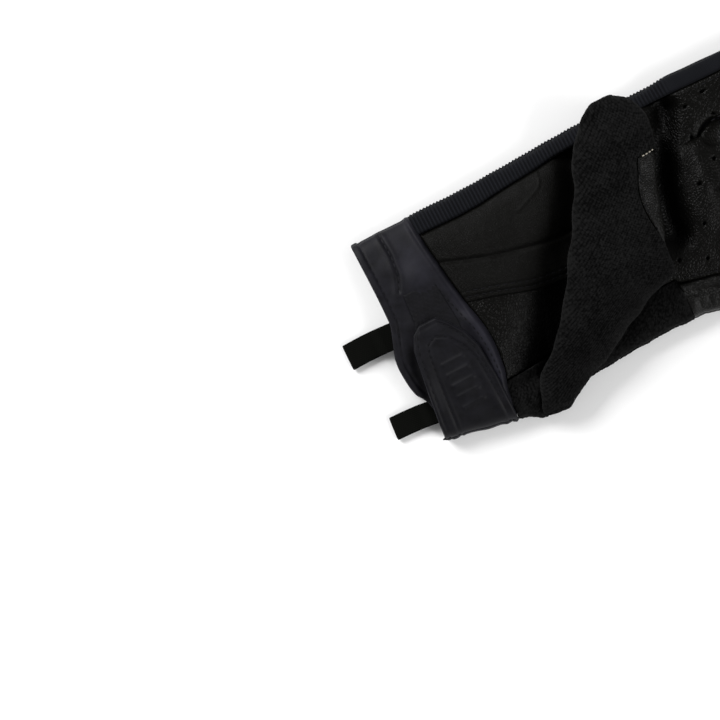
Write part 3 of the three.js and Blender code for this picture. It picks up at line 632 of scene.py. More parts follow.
def lighter(colour, factor):
    """A colour times a factor, which below 1 makes it darker"""
    return tuple(channel * factor for channel in colour)


def leather_finish(name, grain, gloss, shine, colour, paints_fold_shade=False):
    """Soft near-black leather: pebble grain, finer pores, faint cloudy colour and a gloss that rises on the
    grain. With painted shade asked for, the shading that the piece carries at each point darkens its base
    colour towards black in its folds and perforations"""
    made = Finish(name, {"Specular IOR Level": shine})
    wobble = made.clouds(0.004, 3.0)
    cells = made.pebbles(grain)
    fine = made.pebbles(grain * 0.45)
    wear = made.clouds(0.012, 4.0)
    base = made.shade(wear * cells, lighter(colour, 0.7), lighter(colour, 1.35))
    # Painted shade: the base colour goes towards black in the folds and in the perforations
    if paints_fold_shade:
        base = made.shade(made.tone(), (0, 0, 0), base)
    height = cells * 0.9 + fine * 0.08 + wobble * 0.8
    rough = gloss - 0.05 * cells + 0.05 * wear
    made.surface({"Base Color": base, "Roughness": rough, "Normal": made.bump(height, 0.00012)})
    return made.material


def terry_finish(name, colour):
    """Towelling: matt black loops with a faint nap; the pile's shading paints light on their tops and paints
    shade into the dark between them
    """
    made = Finish(name, {"Specular IOR Level": 0.03, "Sheen Weight": 0.02, "Sheen Roughness": 0.6})
    fibres = made.clouds(0.001, 2.0)
    patches = made.clouds(0.009, 4.0)
    # Painted light on the loops' tops and painted shade between them, from the pile; fibres and patches are
    # the cloth's own uneven colour
    light = made.tone() * 1.2 + fibres * 2.2 + patches * 1.2 - 1.9
    base = made.shade(light, lighter(colour, 0.05), lighter(colour, 2.3))
    made.surface({"Base Color": base, "Roughness": 0.97, "Normal": made.bump(fibres, 0.00004)})
    return made.material


def cuff_finish(name, colour, rough):
    """Smooth stretch knit over foam: very fine knit, faint mottling and a soft bluish sheen, with a painted
    highlight, painted sheen and painted shade from the shading the piece carries at each point"""
    made = Finish(name, {"Specular IOR Level": 0.12, "Sheen Weight": 0.01, "Sheen Roughness": 0.5})
    made.surface({"Sheen Tint": (0.75, 0.72, 1.0, 1)})
    knit = made.clouds(0.00045, 1.0, made.stretched((1.0, 2.2, 1.0), 0.2))
    mottle = made.clouds(0.0035, 4.0)
    # The piece's shading paints a highlight on the roll, sheen by the curved seam and shade by the tab;
    # mottle and knit are the cloth's own
    light = mottle * 0.75 + knit * 0.35 + made.tone() * 0.6 - 0.28
    base = made.shade(light, lighter(colour, 0.4), lighter(colour, 3.8))
    bump = made.bump(knit + mottle * 2.0, 0.00003)
    made.surface({"Base Color": base, "Roughness": rough + 0.14 * mottle, "Normal": bump})
    return made.material


def knit_finish(name, colour, pitch):
    """Plain knit: fine crossed rows of stitches, with painted light on the tops of the stitches and of its
    ribs and painted shade between them
    """
    made = Finish(name, {"Specular IOR Level": 0.05, "Sheen Weight": 0.01, "Sheen Roughness": 0.5})
    x, y = made.first_two(made.place)
    rows = (x * (math.tau / pitch)).sine() * 0.5 + 0.5
    wales = (y * (math.tau / pitch) + rows).sine() * 0.5 + 0.5
    cloth = rows * wales
    mottle = made.clouds(0.007, 3.0)
    # Painted light on the stitches' and ribs' tops and painted shade between them; mottle is the cloth's own
    light = cloth * 0.35 + mottle * 0.3 + made.tone() * 0.6 - 0.15
    base = made.shade(light, lighter(colour, 0.3), lighter(colour, 1.8))
    made.surface({"Base Color": base, "Roughness": 0.8, "Normal": made.bump(cloth, 0.00004)})
    return made.material


def webbing_finish(name, colour):
    """Flat webbing, on its own lengths: slanting threads along it, crossed by the weft, with even edges"""
    made = Finish(name, {"Specular IOR Level": 0.03, "Sheen Weight": 0.01, "Sheen Roughness": 0.5})
    cloth = made.node("ShaderNodeUVMap", {"uv_map": "cloth"}).outputs[0]
    along, across = made.first_two(cloth)
    twill = ((along + across) * (math.tau / WEFT_PITCH)).sine() * 0.5 + 0.5
    weft = (across * (math.tau / 0.7)).sine() * 0.5 + 0.5
    weave = twill * weft
    base = made.shade(weave, lighter(colour, 0.6), lighter(colour, 1.5))
    made.surface({"Base Color": base, "Roughness": 0.85, "Normal": made.bump(weave, 0.00004)})
    return made.material


def thread_finish(name, colour, rough):
    """Sewing thread: two plies that wind round each other"""
    made = Finish(name, {"Specular IOR Level": 0.08})
    plies = made.clouds(0.0006, 1.0)
    made.surface({
        "Base Color": made.shade(plies, lighter(colour, 0.7), lighter(colour, 1.3)),
        "Roughness": rough,
        "Normal": made.bump(plies, 0.00003),
    })
    return made.material


def floor_finish(name, colour):
    """The pale sheet that the glove lies on"""
    made = Finish(name, {"Roughness": 0.9, "Specular IOR Level": 0.1})
    cloudy = made.clouds(0.4, 2.0)
    made.surface({"Base Color": made.shade(cloudy, lighter(colour, 0.985), lighter(colour, 1))})
    return made.material


def chosen_look():
    """The sizes and colours that the user has chosen"""
    return bpy.context.scene.glove_look


def finish(kind):
    """A finish by its kind, made the first time it is asked for"""
    name = f"glove {kind}"
    known = bpy.data.materials.get(name)
    if known:
        return known
    look = chosen_look()
    grain = look.grain_size * MM
    makers = {
        "palm leather": lambda: leather_finish(name, grain, 0.32, 0.068, look.leather, True),
        "thumb leather": lambda: leather_finish(name, grain * 0.8, 0.34, 0.12, look.leather),
        "patch leather": lambda: leather_finish(name, grain * 0.6, 0.5, 0.062, look.leather),
        "towelling": lambda: terry_finish(name, look.terry),
        "cuff knit": lambda: cuff_finish(name, look.cuff, 0.48),
        "tab knit": lambda: cuff_finish(name, lighter(look.cuff, 0.75), 0.48),
        "brushed loop": lambda: cuff_finish(name, lighter(look.cuff, 0.55), 0.6),
        "rib knit": lambda: knit_finish(name, look.knit, 0.7 * MM),
        "back knit": lambda: knit_finish(name, look.knit, 1.1 * MM),
        "webbing": lambda: webbing_finish(name, look.webbing),
        "dark thread": lambda: thread_finish(name, look.thread, 0.55),
        "light thread": lambda: thread_finish(name, look.light_thread, 0.35),
        "floor": lambda: floor_finish(name, look.floor),
    }
    return makers[kind]()


# Pieces of the hand

# Grids of the palm and the back: rows in the hand, along the finger and round its tip, and columns
PALM_ROWS = (210, 45, 14)
PALM_COLUMNS = 38
BACK_ROWS = (90, 50, 14)
BACK_COLUMNS = 18

# The round gap between the little and the ring finger
CROTCH = (149.0, -24.5)
CROTCH_RADIUS = 5.3
CROTCH_REACH = 16.0

# Where the palm sinks beside the thumb and beyond its tip, and how far
THUMB_FOLD = ((96, -2), (92, -14), (86, -31), (72, -51), (63, -63), (54, -73), (47, -79))
VALLEY_DEPTH = 9.0
PALM_CREASE = ((135, -7), (130, -15), (123.5, -25), (119.5, -34), (117, -44), (116, -53))
CREASE_DEPTH = 6.5

# Creases over a finger's joints, from where the fingers part
JOINT_CREASES = (24, 46)

PERFORATIONS = ((152, -7.5), (143, -10), (151.5, -18), (140, -22), (144, -33.5), (134, -40), (137, -57),
                (128.5, -55), (113, -63.5), (123.5, -68))
HOLE_RADIUS = 0.95
HOLE_DEPTH = 2.5

# Rounds in which x and y of a slanting grid settle, each worked out from the other
SETTLING = 4


def ray_grid(ray, height, sides, rows, columns):
    """One ray of the palm or the back: rows from the cuff seam to the fingertip, columns between its two
    sides. In the hand, x runs from the cuff seam to the parting at each y; past it, on to the fingertip,
    crowding at the end"""
    hand_rows, finger_rows, tip_rows = rows
    share = np.linspace(0, 1, columns + 1)[None, :]
    part_x = part_line(ray, share)
    along = np.linspace(0, 1, hand_rows + 1)[:, None]
    x = mix(30.0, part_x, along)
    for _ in range(SETTLING):
        left, right = sides(x)
        y = mix(left, right, share)
        x = mix(cuff_seam(y), part_x, along)
    tip_start = FINGERS[ray][6] - TIP_LENGTH
    finger = mix(part_x, tip_start, np.linspace(0, 1, finger_rows + 1)[1:, None])
    turn = np.sin(np.linspace(0, math.pi / 2, tip_rows + 1)[1:, None])
    tip = tip_start + (TIP_LENGTH + TIP_PAST) * turn + 0 * share
    x = np.concatenate((x, finger, tip))
    left, right = sides(x)
    y = mix(left, right, share)
    return stack(x, y, height(ray, x, y))


def palm_sides(ray):
    """The two sides of a ray of the palm: the gusset and the index seam bound it on the outside"""

    def sides(x):
        left, right = ray_edges(ray, x)
        if ray == 0:
            left = np.clip(gusset_seam(x) - GAP, right, left)
        if ray == INDEX:
            right = np.clip(radial_seam(x) + GAP, right, left)
        return left, right

    return sides


def around_holes(x, y):
    """Draws the points near each perforation onto its rim, and says which are inside one, by 1 or 0"""
    inside = np.zeros(np.shape(x))
    for hole_x, hole_y in PERFORATIONS:
        dx, dy = x - hole_x, y - hole_y
        away = np.maximum(np.hypot(dx, dy), 1e-6)
        scale = np.where(np.abs(away - HOLE_RADIUS) < 0.28, HOLE_RADIUS / away, 1)
        x, y = hole_x + dx * scale, hole_y + dy * scale
        inside = np.maximum(inside, (away * scale < HOLE_RADIUS - 0.02).astype(float))
    return x, y, inside


def valley(x, y):
    """The valley in which the thumb lies: -depth * exp(-(distance / half width)^2) from a line just under
    its left edge, so that the palm falls all the way to the thumb. It narrows towards the fingers"""
    half_width = mix(16, 6.5, smooth(y, -54, -14))
    return -VALLEY_DEPTH * groove(distance_to(x, y, THUMB_FOLD), half_width)


def fold_shade(x, y):
    """How much painted shade a point gets, 0 to 1, by how deep it lies in a fold: in the thumb's valley, or
    in the crease beyond its tip
    """
    return np.maximum(smooth(-valley(x, y), 2.0, 5.8), 0.9 * groove(distance_to(x, y, PALM_CREASE), 7.5))


def palm_relief(x, y):
    """Low unevenness of the palm leather over its height: wide ripples and narrow ones, the crease beyond
    the thumb, -depth * exp(-(distance / half width)^2), and the valley in which the thumb lies"""
    wide = 0.3 * ripple(x, y, 26, 4)
    narrow = 0.09 * ripple(x, y * 0.6, 7, 9)
    half_width = mix(6.5, 4.5, smooth(y, -22, -8))
    crease = -CREASE_DEPTH * groove(distance_to(x, y, PALM_CREASE), half_width)
    return wide + narrow + crease + valley(x, y)


def opened(x, y, share):
    """Draws points apart round the gap between the little and the ring finger: from a distance d to
    (d^2 + share * radius^2)^(1/2)"""
    dx, dy = x - CROTCH[0], y - CROTCH[1]
    away = np.maximum(np.hypot(dx, dy), 1e-6)
    near = 1 - smooth(away, 0, CROTCH_REACH)
    scale = np.hypot(away, CROTCH_RADIUS * share * near) / away
    return CROTCH[0] + dx * scale, CROTCH[1] + dy * scale


def from_sewn_sides(ray, sides, x, y):
    """Distance to the nearer sewn side of a ray. In the hand the rays are one panel, so up to the parting
    only the panel's own two sides count, and the others are put out of reach"""
    left, right = sides(x)
    middle = part_line(ray, 0.5)
    out_of_reach = 50 * (1 - smooth(x, middle, middle + 6))
    from_left = left - y + (0 if ray == 0 else out_of_reach)
    from_right = y - right + (0 if ray == INDEX else out_of_reach)
    return np.minimum(from_left, from_right)


def build_palm():
    """The palm leather with the palm side of the fingers, ray by ray: the height of the palm and its
    relief, less a dimple at each perforation, a crease 0.5 * exp(-(distance / 1.4)^2) over each joint, and
    edges that turn in by a quarter circle. Its shading is 1, and falls in folds and dimples as painted shade"""
    grids, painted_shades = [], []
    for ray in range(len(FINGERS)):
        sides = palm_sides(ray)
        grid = ray_grid(ray, top_height, sides, PALM_ROWS, PALM_COLUMNS)
        x, y, inside = around_holes(grid[..., 0], grid[..., 1])
        z = top_height(ray, x, y) + palm_relief(x, y) * (1 - smooth(x, 140, 160))
        edge = np.minimum(from_sewn_sides(ray, sides, x, y), x - cuff_seam(y))
        z = z - 0.8 * turned(np.maximum(edge, 0), 1.5) - HOLE_DEPTH * inside
        for joint in JOINT_CREASES:
            z = z - 0.5 * groove(x - PARTING[ray][0] - joint, 1.4) * smooth(x, 150, 160)
        grids.append(stack(*opened(x, y, 1), z))
        # Painted shade: black in the perforations, and darker deep in the valley beside the thumb and in the
        # crease
        painted_shades.append((1 - inside) * (1 - 0.85 * fold_shade(x, y)))
    make_piece("palm_leather", grids, finish("palm leather"), ("palm_panel",), wall=1.1,
               tone=painted_shades)


# Borders of the heel patch, the line in which its padding is pressed, and a small crease in its leather
HEEL_TOP = ((25.4, -8.2), (50, -8.2), (62, -7.0), (78, -5.7), (88, -4.5), (108, -3.9))
HEEL_LOW = ((29.6, -40), (42, -43.4), (56, -48), (68, -49.6), (79, -50), (88, -46.5), (98, -40))
HEEL_CUFF = ((25.4, -8.2), (27.3, -25), (29.6, -40))
HEEL_END = ((108, -3.9), (109, -18), (105, -30), (98, -40))
HEEL_BORDER = HEEL_LOW + HEEL_END[-2::-1]
HEEL_INSETS = (2.0, 4.2)
CHANNEL = ((27, -21), (45, -27.4), (60, -31.2), (70, -33), (80, -33.5))
CREASE_MARK = ((64.4, -16.8), (70, -14.6), (75.6, -12.2), (77.4, -9.6), (78.1, -6))


def even_line(points, count):
    """Points at even steps of the chord length of a smooth plan line"""
    x, y = smooth_line(points, 0.05)
    share = np.linspace(0, 1, len(x))
    at = np.linspace(0, 1, count + 1)
    return np.stack((np.interp(at, share, x), np.interp(at, share, y)), axis=1)


def heel_height(x, y):
    """The heel patch: it rises from its sewn border as 1 - exp(-(distance / 2.6)^2), swells by 1 -
    exp(-(distance / 7)^2) of the distance to its border and its channel, and is pressed in along the
    channel and the two rows of stitches, each by exp(-(distance / half width)^2). The crease is raised by
    the same formula"""
    border = distance_to(x, y, HEEL_BORDER)
    top_edge = distance_to(x, y, HEEL_TOP)
    edge = np.minimum(border, top_edge)
    channel = distance_to_curve(x, y, CHANNEL, 2)
    mark = distance_to_curve(x, y, CREASE_MARK, 1)
    rise = 0.7 + 1.1 * (1 - groove(edge, 2.6)) + 0.5 * (1 - groove(np.minimum(edge, channel), 7))
    rise = rise - 1.15 * groove(channel, 0.95) + 0.45 * groove(mark, 0.55)
    rise = rise - 0.35 * groove(border - HEEL_INSETS[0], 0.5) - 0.3 * groove(border - HEEL_INSETS[1], 0.5)
    return palm_height(x, y) + palm_relief(x, y) + rise


def build_heel_patch():
    """A patch between four border lines (a Coons patch): both blends of facing lines, less the corners'"""
    across, down = 190, 96
    top, low = even_line(HEEL_TOP, across), even_line(HEEL_LOW, across)
    start, end = even_line(HEEL_CUFF, down), even_line(HEEL_END, down)
    u = np.linspace(0, 1, across + 1)[:, None, None]
    v = np.linspace(0, 1, down + 1)[None, :, None]
    plan = mix(top[:, None], low[:, None], v) + mix(start[None], end[None], u)
    plan = plan - mix(mix(top[0], top[-1], u), mix(low[0], low[-1], u), v)
    x, y = plan[..., 0], plan[..., 1]
    points = stack(x, y, heel_height(x, y))
    edge = np.minimum(from_ends(points, 0), from_ends(points, 1))
    points[..., 2] -= 0.7 * turned(edge, 0.8)
    patch = make_piece("heel_patch_leather", [points], finish("patch leather"), ("heel_patch",),
                       wall=0.9)


# The strips round the hand's two edges: where each starts, and how far they bow out
GUSSET_START = 24.4
RIBS_FADE = (138, 142)
INDEX_SIDE_START = 108.6
WELT_FADES = (128, 150)
THUMB_SIDE_ENDS = (27.4, 108.8)
SIDE_BOW = 0.6
LITTLE_SIDE_OUT = (0, 0.7, 0.7)
INDEX_SIDE_OUT = (0, -0.7, 0.7)


def edge_strip(edge, seam, ray, x, across, down):
    """A strip of the hand's edge in section: over the top from the seam to the edge, crowding there as the
    sine of its share, then down the side, which bows out by a sine of its own. edge and seam are the y of
    each at x"""
    over = np.sin(np.linspace(0, math.pi / 2, across + 1))[None, :]
    y_over = mix(seam, edge, over)
    z_over = top_height(ray, x, y_over)
    share = np.linspace(0, 1, down + 1)[None, 1:]
    low, _ = finger_sides(ray, x)
    part_x = PARTING[0][0]
    low = mix(HAND_SIDE[0], low, smooth(x, part_x - TURN_LENGTH, part_x)) + GAP
    high = top_height(ray, x, edge)
    side = 1 if ray == 0 else -1
    y_side = edge + side * SIDE_BOW * np.sin(math.pi * share)
    z_side = mix(high, low, share)
    return stack(np.concatenate((x + 0 * over, x + 0 * share), axis=1),
                 np.concatenate((y_over, y_side), axis=1),
                 np.concatenate((z_over, z_side), axis=1))


def finger_stations(start, ray, step):
    """Even stations along a ray, which crowd at its fingertip as the sine of a quarter turn"""
    tip_start = FINGERS[ray][6] - TIP_LENGTH
    even = np.linspace(start, tip_start, int((tip_start - start) / step) + 1)
    tip = tip_start + (TIP_LENGTH + TIP_PAST) * np.sin(np.linspace(0, math.pi / 2, 18)[1:])
    return np.concatenate((even, tip))[:, None]


def raise_surface(points, raised, outward, wrap=False):
    """A grid's points moved out along its normals, each by its own distance"""
    return points + normals(points, outward, wrap) * raised[..., None]


def build_gusset():
    """The rib knit down the little finger's side: ribs cos(2 pi x / pitch), which fade out before the
    fingers part, low ripples, and an edge along the seam that turns in by a quarter circle. Its shading
    follows the ribs, as painted light on their tops and painted shade between them"""
    x = finger_stations(GUSSET_START, 0, 0.3)
    edge, inner = ray_edges(0, x)
    seam = np.clip(gusset_seam(x), inner, edge)
    points = edge_strip(edge, seam, 0, x, 14, 9)
    station, height = points[..., 0], points[..., 2]
    ribs = np.cos(math.tau * station / chosen_look().rib_pitch) * (1 - smooth(station, *RIBS_FADE))
    seam_side = walked(points, 1)
    raised = 0.26 * ribs * smooth(seam_side, 0.5, 1.2) + 0.15 * ripple(station, height, 9, 5)
    raised = raised - 0.9 * turned(seam_side, 1.0) + 0.25
    points = raise_surface(points, raised, LITTLE_SIDE_OUT)
    # The ribs are also painted light on their tops and painted shade between them
    make_piece("side_gusset_knit", [points], finish("rib knit"), ("side_gusset",), wall=0.8,
               outward=LITTLE_SIDE_OUT, tone=[0.5 + 0.5 * ribs])


def build_index_side():
    """The leather side of the hand and index finger. Along its seam it swells to a welt and is pinched in
    beside it, each as exp(-(distance / half width)^2), and both fade out along the finger; over that go two
    sorts of wrinkles, and the sewn edge turns in by a quarter circle"""
    x = finger_stations(INDEX_SIDE_START, INDEX, 0.45)
    inner, edge = ray_edges(INDEX, x)
    seam = np.clip(radial_seam(x), edge, inner)
    points = edge_strip(edge, seam, INDEX, x, 30, 12)
    seam_side = walked(points, 1)
    welt = 0.9 * groove(seam_side - 2.0, 1.5) - 0.6 * groove(seam_side - 5.4, 1.1)
    wide = 0.3 * ripple(points[..., 0], points[..., 1], 12, 6)
    narrow = 0.16 * ripple(points[..., 0] * 2, points[..., 1] * 0.6, 7, 8) * smooth(seam_side, 2, 5)
    raised = welt * (1 - smooth(x, *WELT_FADES)) + wide + narrow - 0.9 * turned(seam_side, 1.2)
    points = raise_surface(points, raised, INDEX_SIDE_OUT)
    make_piece("index_side_leather", [points], finish("thumb leather"), ("index_side",), wall=0.9,
               outward=INDEX_SIDE_OUT)


def build_back():
    """The back of the hand and fingers, ray by ray: the height of the underside, low ripples that only lift
    it, and sewn sides that turn up by a quarter circle"""
    grids = []
    for ray in range(len(FINGERS)):
        sides = partial(ray_edges, ray)
        grid = ray_grid(ray, under_height, sides, BACK_ROWS, BACK_COLUMNS)
        x, y = grid[..., 0], grid[..., 1]
        lift = 0.12 * (ripple(x, y, 18, 12) + 1)
        edge = np.maximum(from_sewn_sides(ray, sides, x, y), 0)
        grid[..., 2] += lift + 0.5 * turned(edge, 1.4)
        grids.append(grid)
    make_piece("back_knit", grids, finish("back knit"), ("back_panel",), wall=1.0,
               outward=(0, 0, -1))


def build_fourchettes():
    """Strips between the fingers: from one fingertip back along its side to the parting, round it and out
    along the next finger; each column is a height on the side, and the strip sinks between its seams by a
    sine of its share"""
    for ray in range(len(FINGERS) - 1):
        near = finger_stations(PARTING[ray + 1][0], ray, 1.0)[::-1]
        far = finger_stations(PARTING[ray + 1][0], ray + 1, 1.0)[1:]
        x = np.concatenate((near, far))
        y = np.concatenate((finger_edge(ray, 1, near), finger_edge(ray + 1, -1, far)))
        pairs = zip(finger_sides(ray, near), finger_sides(ray + 1, far))
        low, high = (np.concatenate(pair) for pair in pairs)
        share = np.linspace(1, 0, 13)[None, :]
        points = stack(*opened(x, y, share ** 2), mix(low + 0.2, high - 0.2, share))
        flat = np.gradient(points[..., :2], axis=0)
        flat /= np.maximum(np.linalg.norm(flat, axis=2, keepdims=True), 1e-9)
        sink = 0.5 * np.sin(math.pi * share) + 0 * x
        points[..., 0] += flat[..., 1] * -sink
        points[..., 1] += flat[..., 0] * sink
        first, second = FINGERS[ray][0], FINGERS[ray + 1][0]
        make_piece(f"side_strip_{first}_{second}", [points], finish("back knit"),
                   (f"fourchette_{first}_{second}",), wall=0.8, outward=AS_DRAWN)


# The thumb, folded over the palm. Each row: left edge x, y, right edge x, y, height of the middle, half
# height, how far the left edge is lifted, and the angle from the right edge up to where the leather under
# it ends

THUMB = np.array((
    (38.5, -94.8, 48.5, -95.2, 7.2, 2.8, 0, -60),
    (37.5, -92.6, 55, -92, 7.8, 5.4, 0, -60),
    (39.5, -87.5, 62, -89, 8.8, 6.2, 0, -50),
    (42.5, -81, 75, -82, 11.4, 6.8, 0.4, -40),
    (46.5, -77, 86, -76, 14.2, 7, 0.8, -30),
    (53, -71.5, 97, -70.5, 17, 7, 1.2, -20),
    (62, -61, 108, -67, 20.2, 6.9, 1.4, -10),
    (69.2, -50, 110, -58, 23, 6.7, 1.5, 5),
    (76, -39.5, 113.5, -49, 24.4, 6.3, 1.4, 40),
    (82.2, -30, 117, -38, 24.4, 6.1, 1.2, 59),
    (87.8, -20, 120.5, -28, 24.1, 6, 1, 61),
    (91.3, -12.2, 124.4, -18.5, 23.6, 6, 0.6, 52),
    (95.2, -5.2, 126.8, -8, 23.2, 5.9, 0.3, -25),
    (99.2, -0.5, 126.0, -2, 22.9, 5.5, 0, -30),
    (103.2, 3.9, 123.2, 3.4, 22.7, 4.7, 0, -30),
    (107.8, 7.0, 118.6, 6.8, 22.6, 3.2, 0, -30),
), float)
THUMB_END = len(THUMB) - 1
THUMB_BEND = 2 / 2.3
THUMB_LEFT_SEAM = 205.0
THUMB_CAP = 1.3
thumb_columns = [curve(list(enumerate(column))) for column in THUMB.T]

# Rows with leather on the thumb's underside, and rows in which its edge drops past the bar tack
THUMB_LEATHER_ROWS = (4.4, 14.1)
LEATHER_DROP_ROWS = (10.72, 10.98)
LEATHER_DROP_ANGLE = -25.0

# A dent in the top of the thumb, its crease at the hand's edge and a notch at its root
THUMB_DENT = ((108, -25), (104, -32), (101, -41))
THUMB_CREASE = ((107.5, -70), (100, -69), (90, -73), (80, -79), (70, -85), (60, -89))
THUMB_NOTCH = ((50, -74), (44.5, -78), (41.5, -83), (39, -90))


def leather_edge(row):
    """Angle at which the thumb's leather ends: past the bar tack it drops out of sight"""
    return mix(thumb_columns[7](row), LEATHER_DROP_ANGLE, smooth(row, *LEATHER_DROP_ROWS))


def squarish(angle, across_power, up_power):
    """Across and up of a ring of half width and half height 1: |cos| and |sin| of the angle, each to its
    power and with its own sign"""
    c, s = np.cos(angle), np.sin(angle)
    return np.sign(c) * np.abs(c) ** across_power, np.sign(s) * np.abs(s) ** up_power


def thumb_point(row, degrees):
    """A point on the thumb at a fractional row: round the middle of its two edges, on a squarish ring at an
    angle from the right edge. Past the first and the last row the ring closes by the cosine of the way
    past, while the sine carries it outwards, as a round cap"""
    inside = np.clip(row, 0, THUMB_END)
    left_x, left_y, right_x, right_y, z, half, tilt, _ = (column(inside) for column in thumb_columns)
    left, right = stack(left_x, left_y, z + tilt), stack(right_x, right_y, z - tilt)
    middle = (left + right) / 2
    across, up = squarish(np.radians(degrees), THUMB_BEND, THUMB_BEND)
    past = np.clip(np.maximum(-row, row - THUMB_END), 0, 1)
    closing = np.cos(past * math.pi / 2)
    out = np.where(row < 0, -1, 1) * np.sin(past * math.pi / 2) * THUMB_CAP
    ring = (right - middle) * (across * closing)[..., None]
    ring = ring + stack(0.3 * out, 0.9 * out, up * half * closing)
    return middle + ring


def thumb_rows(start, end, step):
    """Fractional rows at even steps of the way that the thumb's middle runs"""
    fine = np.linspace(start, end, 800)
    ends = [np.stack([thumb_columns[i](fine), thumb_columns[i + 1](fine)], axis=1) for i in (0, 2)]
    middle = np.column_stack(((ends[0] + ends[1]) / 2, thumb_columns[4](fine)))
    way = np.concatenate(([0], np.cumsum(np.linalg.norm(np.diff(middle, axis=0), axis=1))))
    return np.interp(np.linspace(0, way[-1], int(way[-1] / step) + 1), way, fine)


def even_angles(start, end, count):
    """Angles that step evenly round a flattened ring, three times as wide as high"""
    angle = np.linspace(start, end, 2000)
    across, up = squarish(np.radians(angle), THUMB_BEND, THUMB_BEND)
    way = np.concatenate(([0], np.cumsum(np.hypot(3 * np.diff(across), np.diff(up)))))
    return np.interp(np.linspace(0, way[-1], count + 1), way, angle)


def terry_loops(points, seed):
    """Pile over a grid, 0 to 1: loops on a lattice that slants across the plan and leans with the height"""
    pitch = chosen_look().loop_pitch
    x, y, z = points[..., 0], points[..., 1], points[..., 2]
    c, s = math.cos(math.radians(38)), math.sin(math.radians(38))
    return pile((x * c + y * s + 0.8 * z) * 1.15, (y * c - x * s + 0.8 * z) * 0.85, pitch, seed)


def build_thumb():
    """The thumb's towelling, a closed tube of squarish rings. It is raised by its pile and by low ripples,
    sinks by 1.2 mm under the leather, and has a dent 1.3 * exp(-(distance / 2.6)^2) in its top. Its shading
    follows the pile, as painted light on the loops' tops and painted shade between them"""
    body = thumb_rows(0, THUMB_END, 0.4)
    cap = np.sin(np.linspace(0, math.pi / 2, 9)[1:])
    rows = np.concatenate((-cap[::-1], body, THUMB_END + cap))[:, None]
    seen, hidden = even_angles(-12, 192, 200), even_angles(192, 348, 36)
    degrees = np.concatenate((seen[:-1], hidden[:-1]))[None, :]
    base = thumb_point(rows, degrees)
    seam = leather_edge(np.clip(rows, 0, THUMB_END))
    above = np.where(degrees < 180, degrees + 360, degrees)
    first, last = THUMB_LEATHER_ROWS
    in_rows = smooth(rows, first - 0.2, first + 0.2) * (1 - smooth(rows, last - 0.2, last + 0.2))
    in_leather = smooth(above - THUMB_LEFT_SEAM, -2, 2) * smooth(360 + seam - above, -2, 2) * in_rows
    dent = groove(distance_to(base[..., 0], base[..., 1], THUMB_DENT), 2.6)
    on_top = smooth(np.sin(np.radians(degrees)), 0, 0.5)
    soft = 0.5 * ripple(base[..., 0], base[..., 1], 17, 21) * (1 - smooth(rows, 10, 12))
    loops = terry_loops(base, 31)
    height = chosen_look().pile_height * loops + soft
    raised = height * (1 - in_leather) - 1.2 * in_leather - 1.3 * dent * on_top
    closing = 1 - smooth(np.maximum(-rows, rows - THUMB_END), 0.5, 1.0)
    points = raise_surface(base, raised * closing, None, wrap=True)
    # The pile is also painted light on the loops' tops and painted shade between them
    make_piece("thumb_towelling", [points], finish("towelling"), ("thumb_terry",), wrap=True,
               closed=True, tone=[loops])


def build_thumb_side():
    """Towelling on round the thumb side of the hand, from its seam over the edge and down to the back. It
    bulges out at the thumb's root, and sinks into the valley beside the thumb, its crease and a notch, each
    by depth * exp(-(distance / half width)^2), before pile and ripples are raised on it"""
    x = np.linspace(*THUMB_SIDE_ENDS, 202)[:, None]
    points = edge_strip(hand_index(x), radial_seam(x) - 0.1, INDEX, x, 34, 12)
    outwards = np.concatenate((np.linspace(0, 1, 35) ** 3, 1 - np.linspace(0, 1, 13)[1:] ** 2))
    points[..., 1] -= 4.6 * groove(x - 38, 5.5) * outwards
    ends = np.minimum(points[..., 0] - x[0], x[-1] - points[..., 0])
    seam_side = walked(points, 1)
    at = points[..., 0], points[..., 1]
    points[..., 2] += valley(*at) * (1 - smooth(seam_side, 3, 12))
    points[..., 2] -= 1.8 * groove(distance_to(*at, THUMB_CREASE), 3.5) * (1 - smooth(seam_side, 16, 22))
    points[..., 2] -= 2.5 * groove(distance_to(*at, THUMB_NOTCH), 1.6)
    loops = terry_loops(points, 47)
    raised = chosen_look().pile_height * loops + 0.3 * ripple(points[..., 0], points[..., 1], 14, 8)
    raised = raised - 0.9 * turned(ends, 1.0)
    points = raise_surface(points, raised, INDEX_SIDE_OUT)
    # The pile is also painted light on the loops' tops and painted shade between them
    make_piece("thumb_side_towelling", [points], finish("towelling"), ("thumb_terry",), wall=0.9,
               outward=INDEX_SIDE_OUT, tone=[loops])


def build_thumb_leather():
    """The leather under the thumb: the part of the thumb's rings from its left seam round to the leather's
    edge, drawn in by 0.1 mm, with low ripples and edges that turn in by a quarter circle"""
    rows = thumb_rows(*THUMB_LEATHER_ROWS, 0.6)[:, None]
    seam = leather_edge(rows)
    share = np.linspace(0, 1, 110)[None, :]
    degrees = mix(THUMB_LEFT_SEAM + 0.5, 359.5 + seam, share)
    base = thumb_point(rows, degrees)
    edge = np.minimum(from_ends(base, 0), from_ends(base, 1))
    raised = -0.1 - 0.9 * turned(edge, 1.2) + 0.2 * ripple(base[..., 0], base[..., 1] + base[..., 2], 8, 13)
    points = raise_surface(base, raised, base - base.mean(axis=(0, 1)))
    make_piece("thumb_leather_side", [points], finish("thumb leather"), ("thumb_leather",),
               wall=0.8, outward=None)


# The cuff and its strap

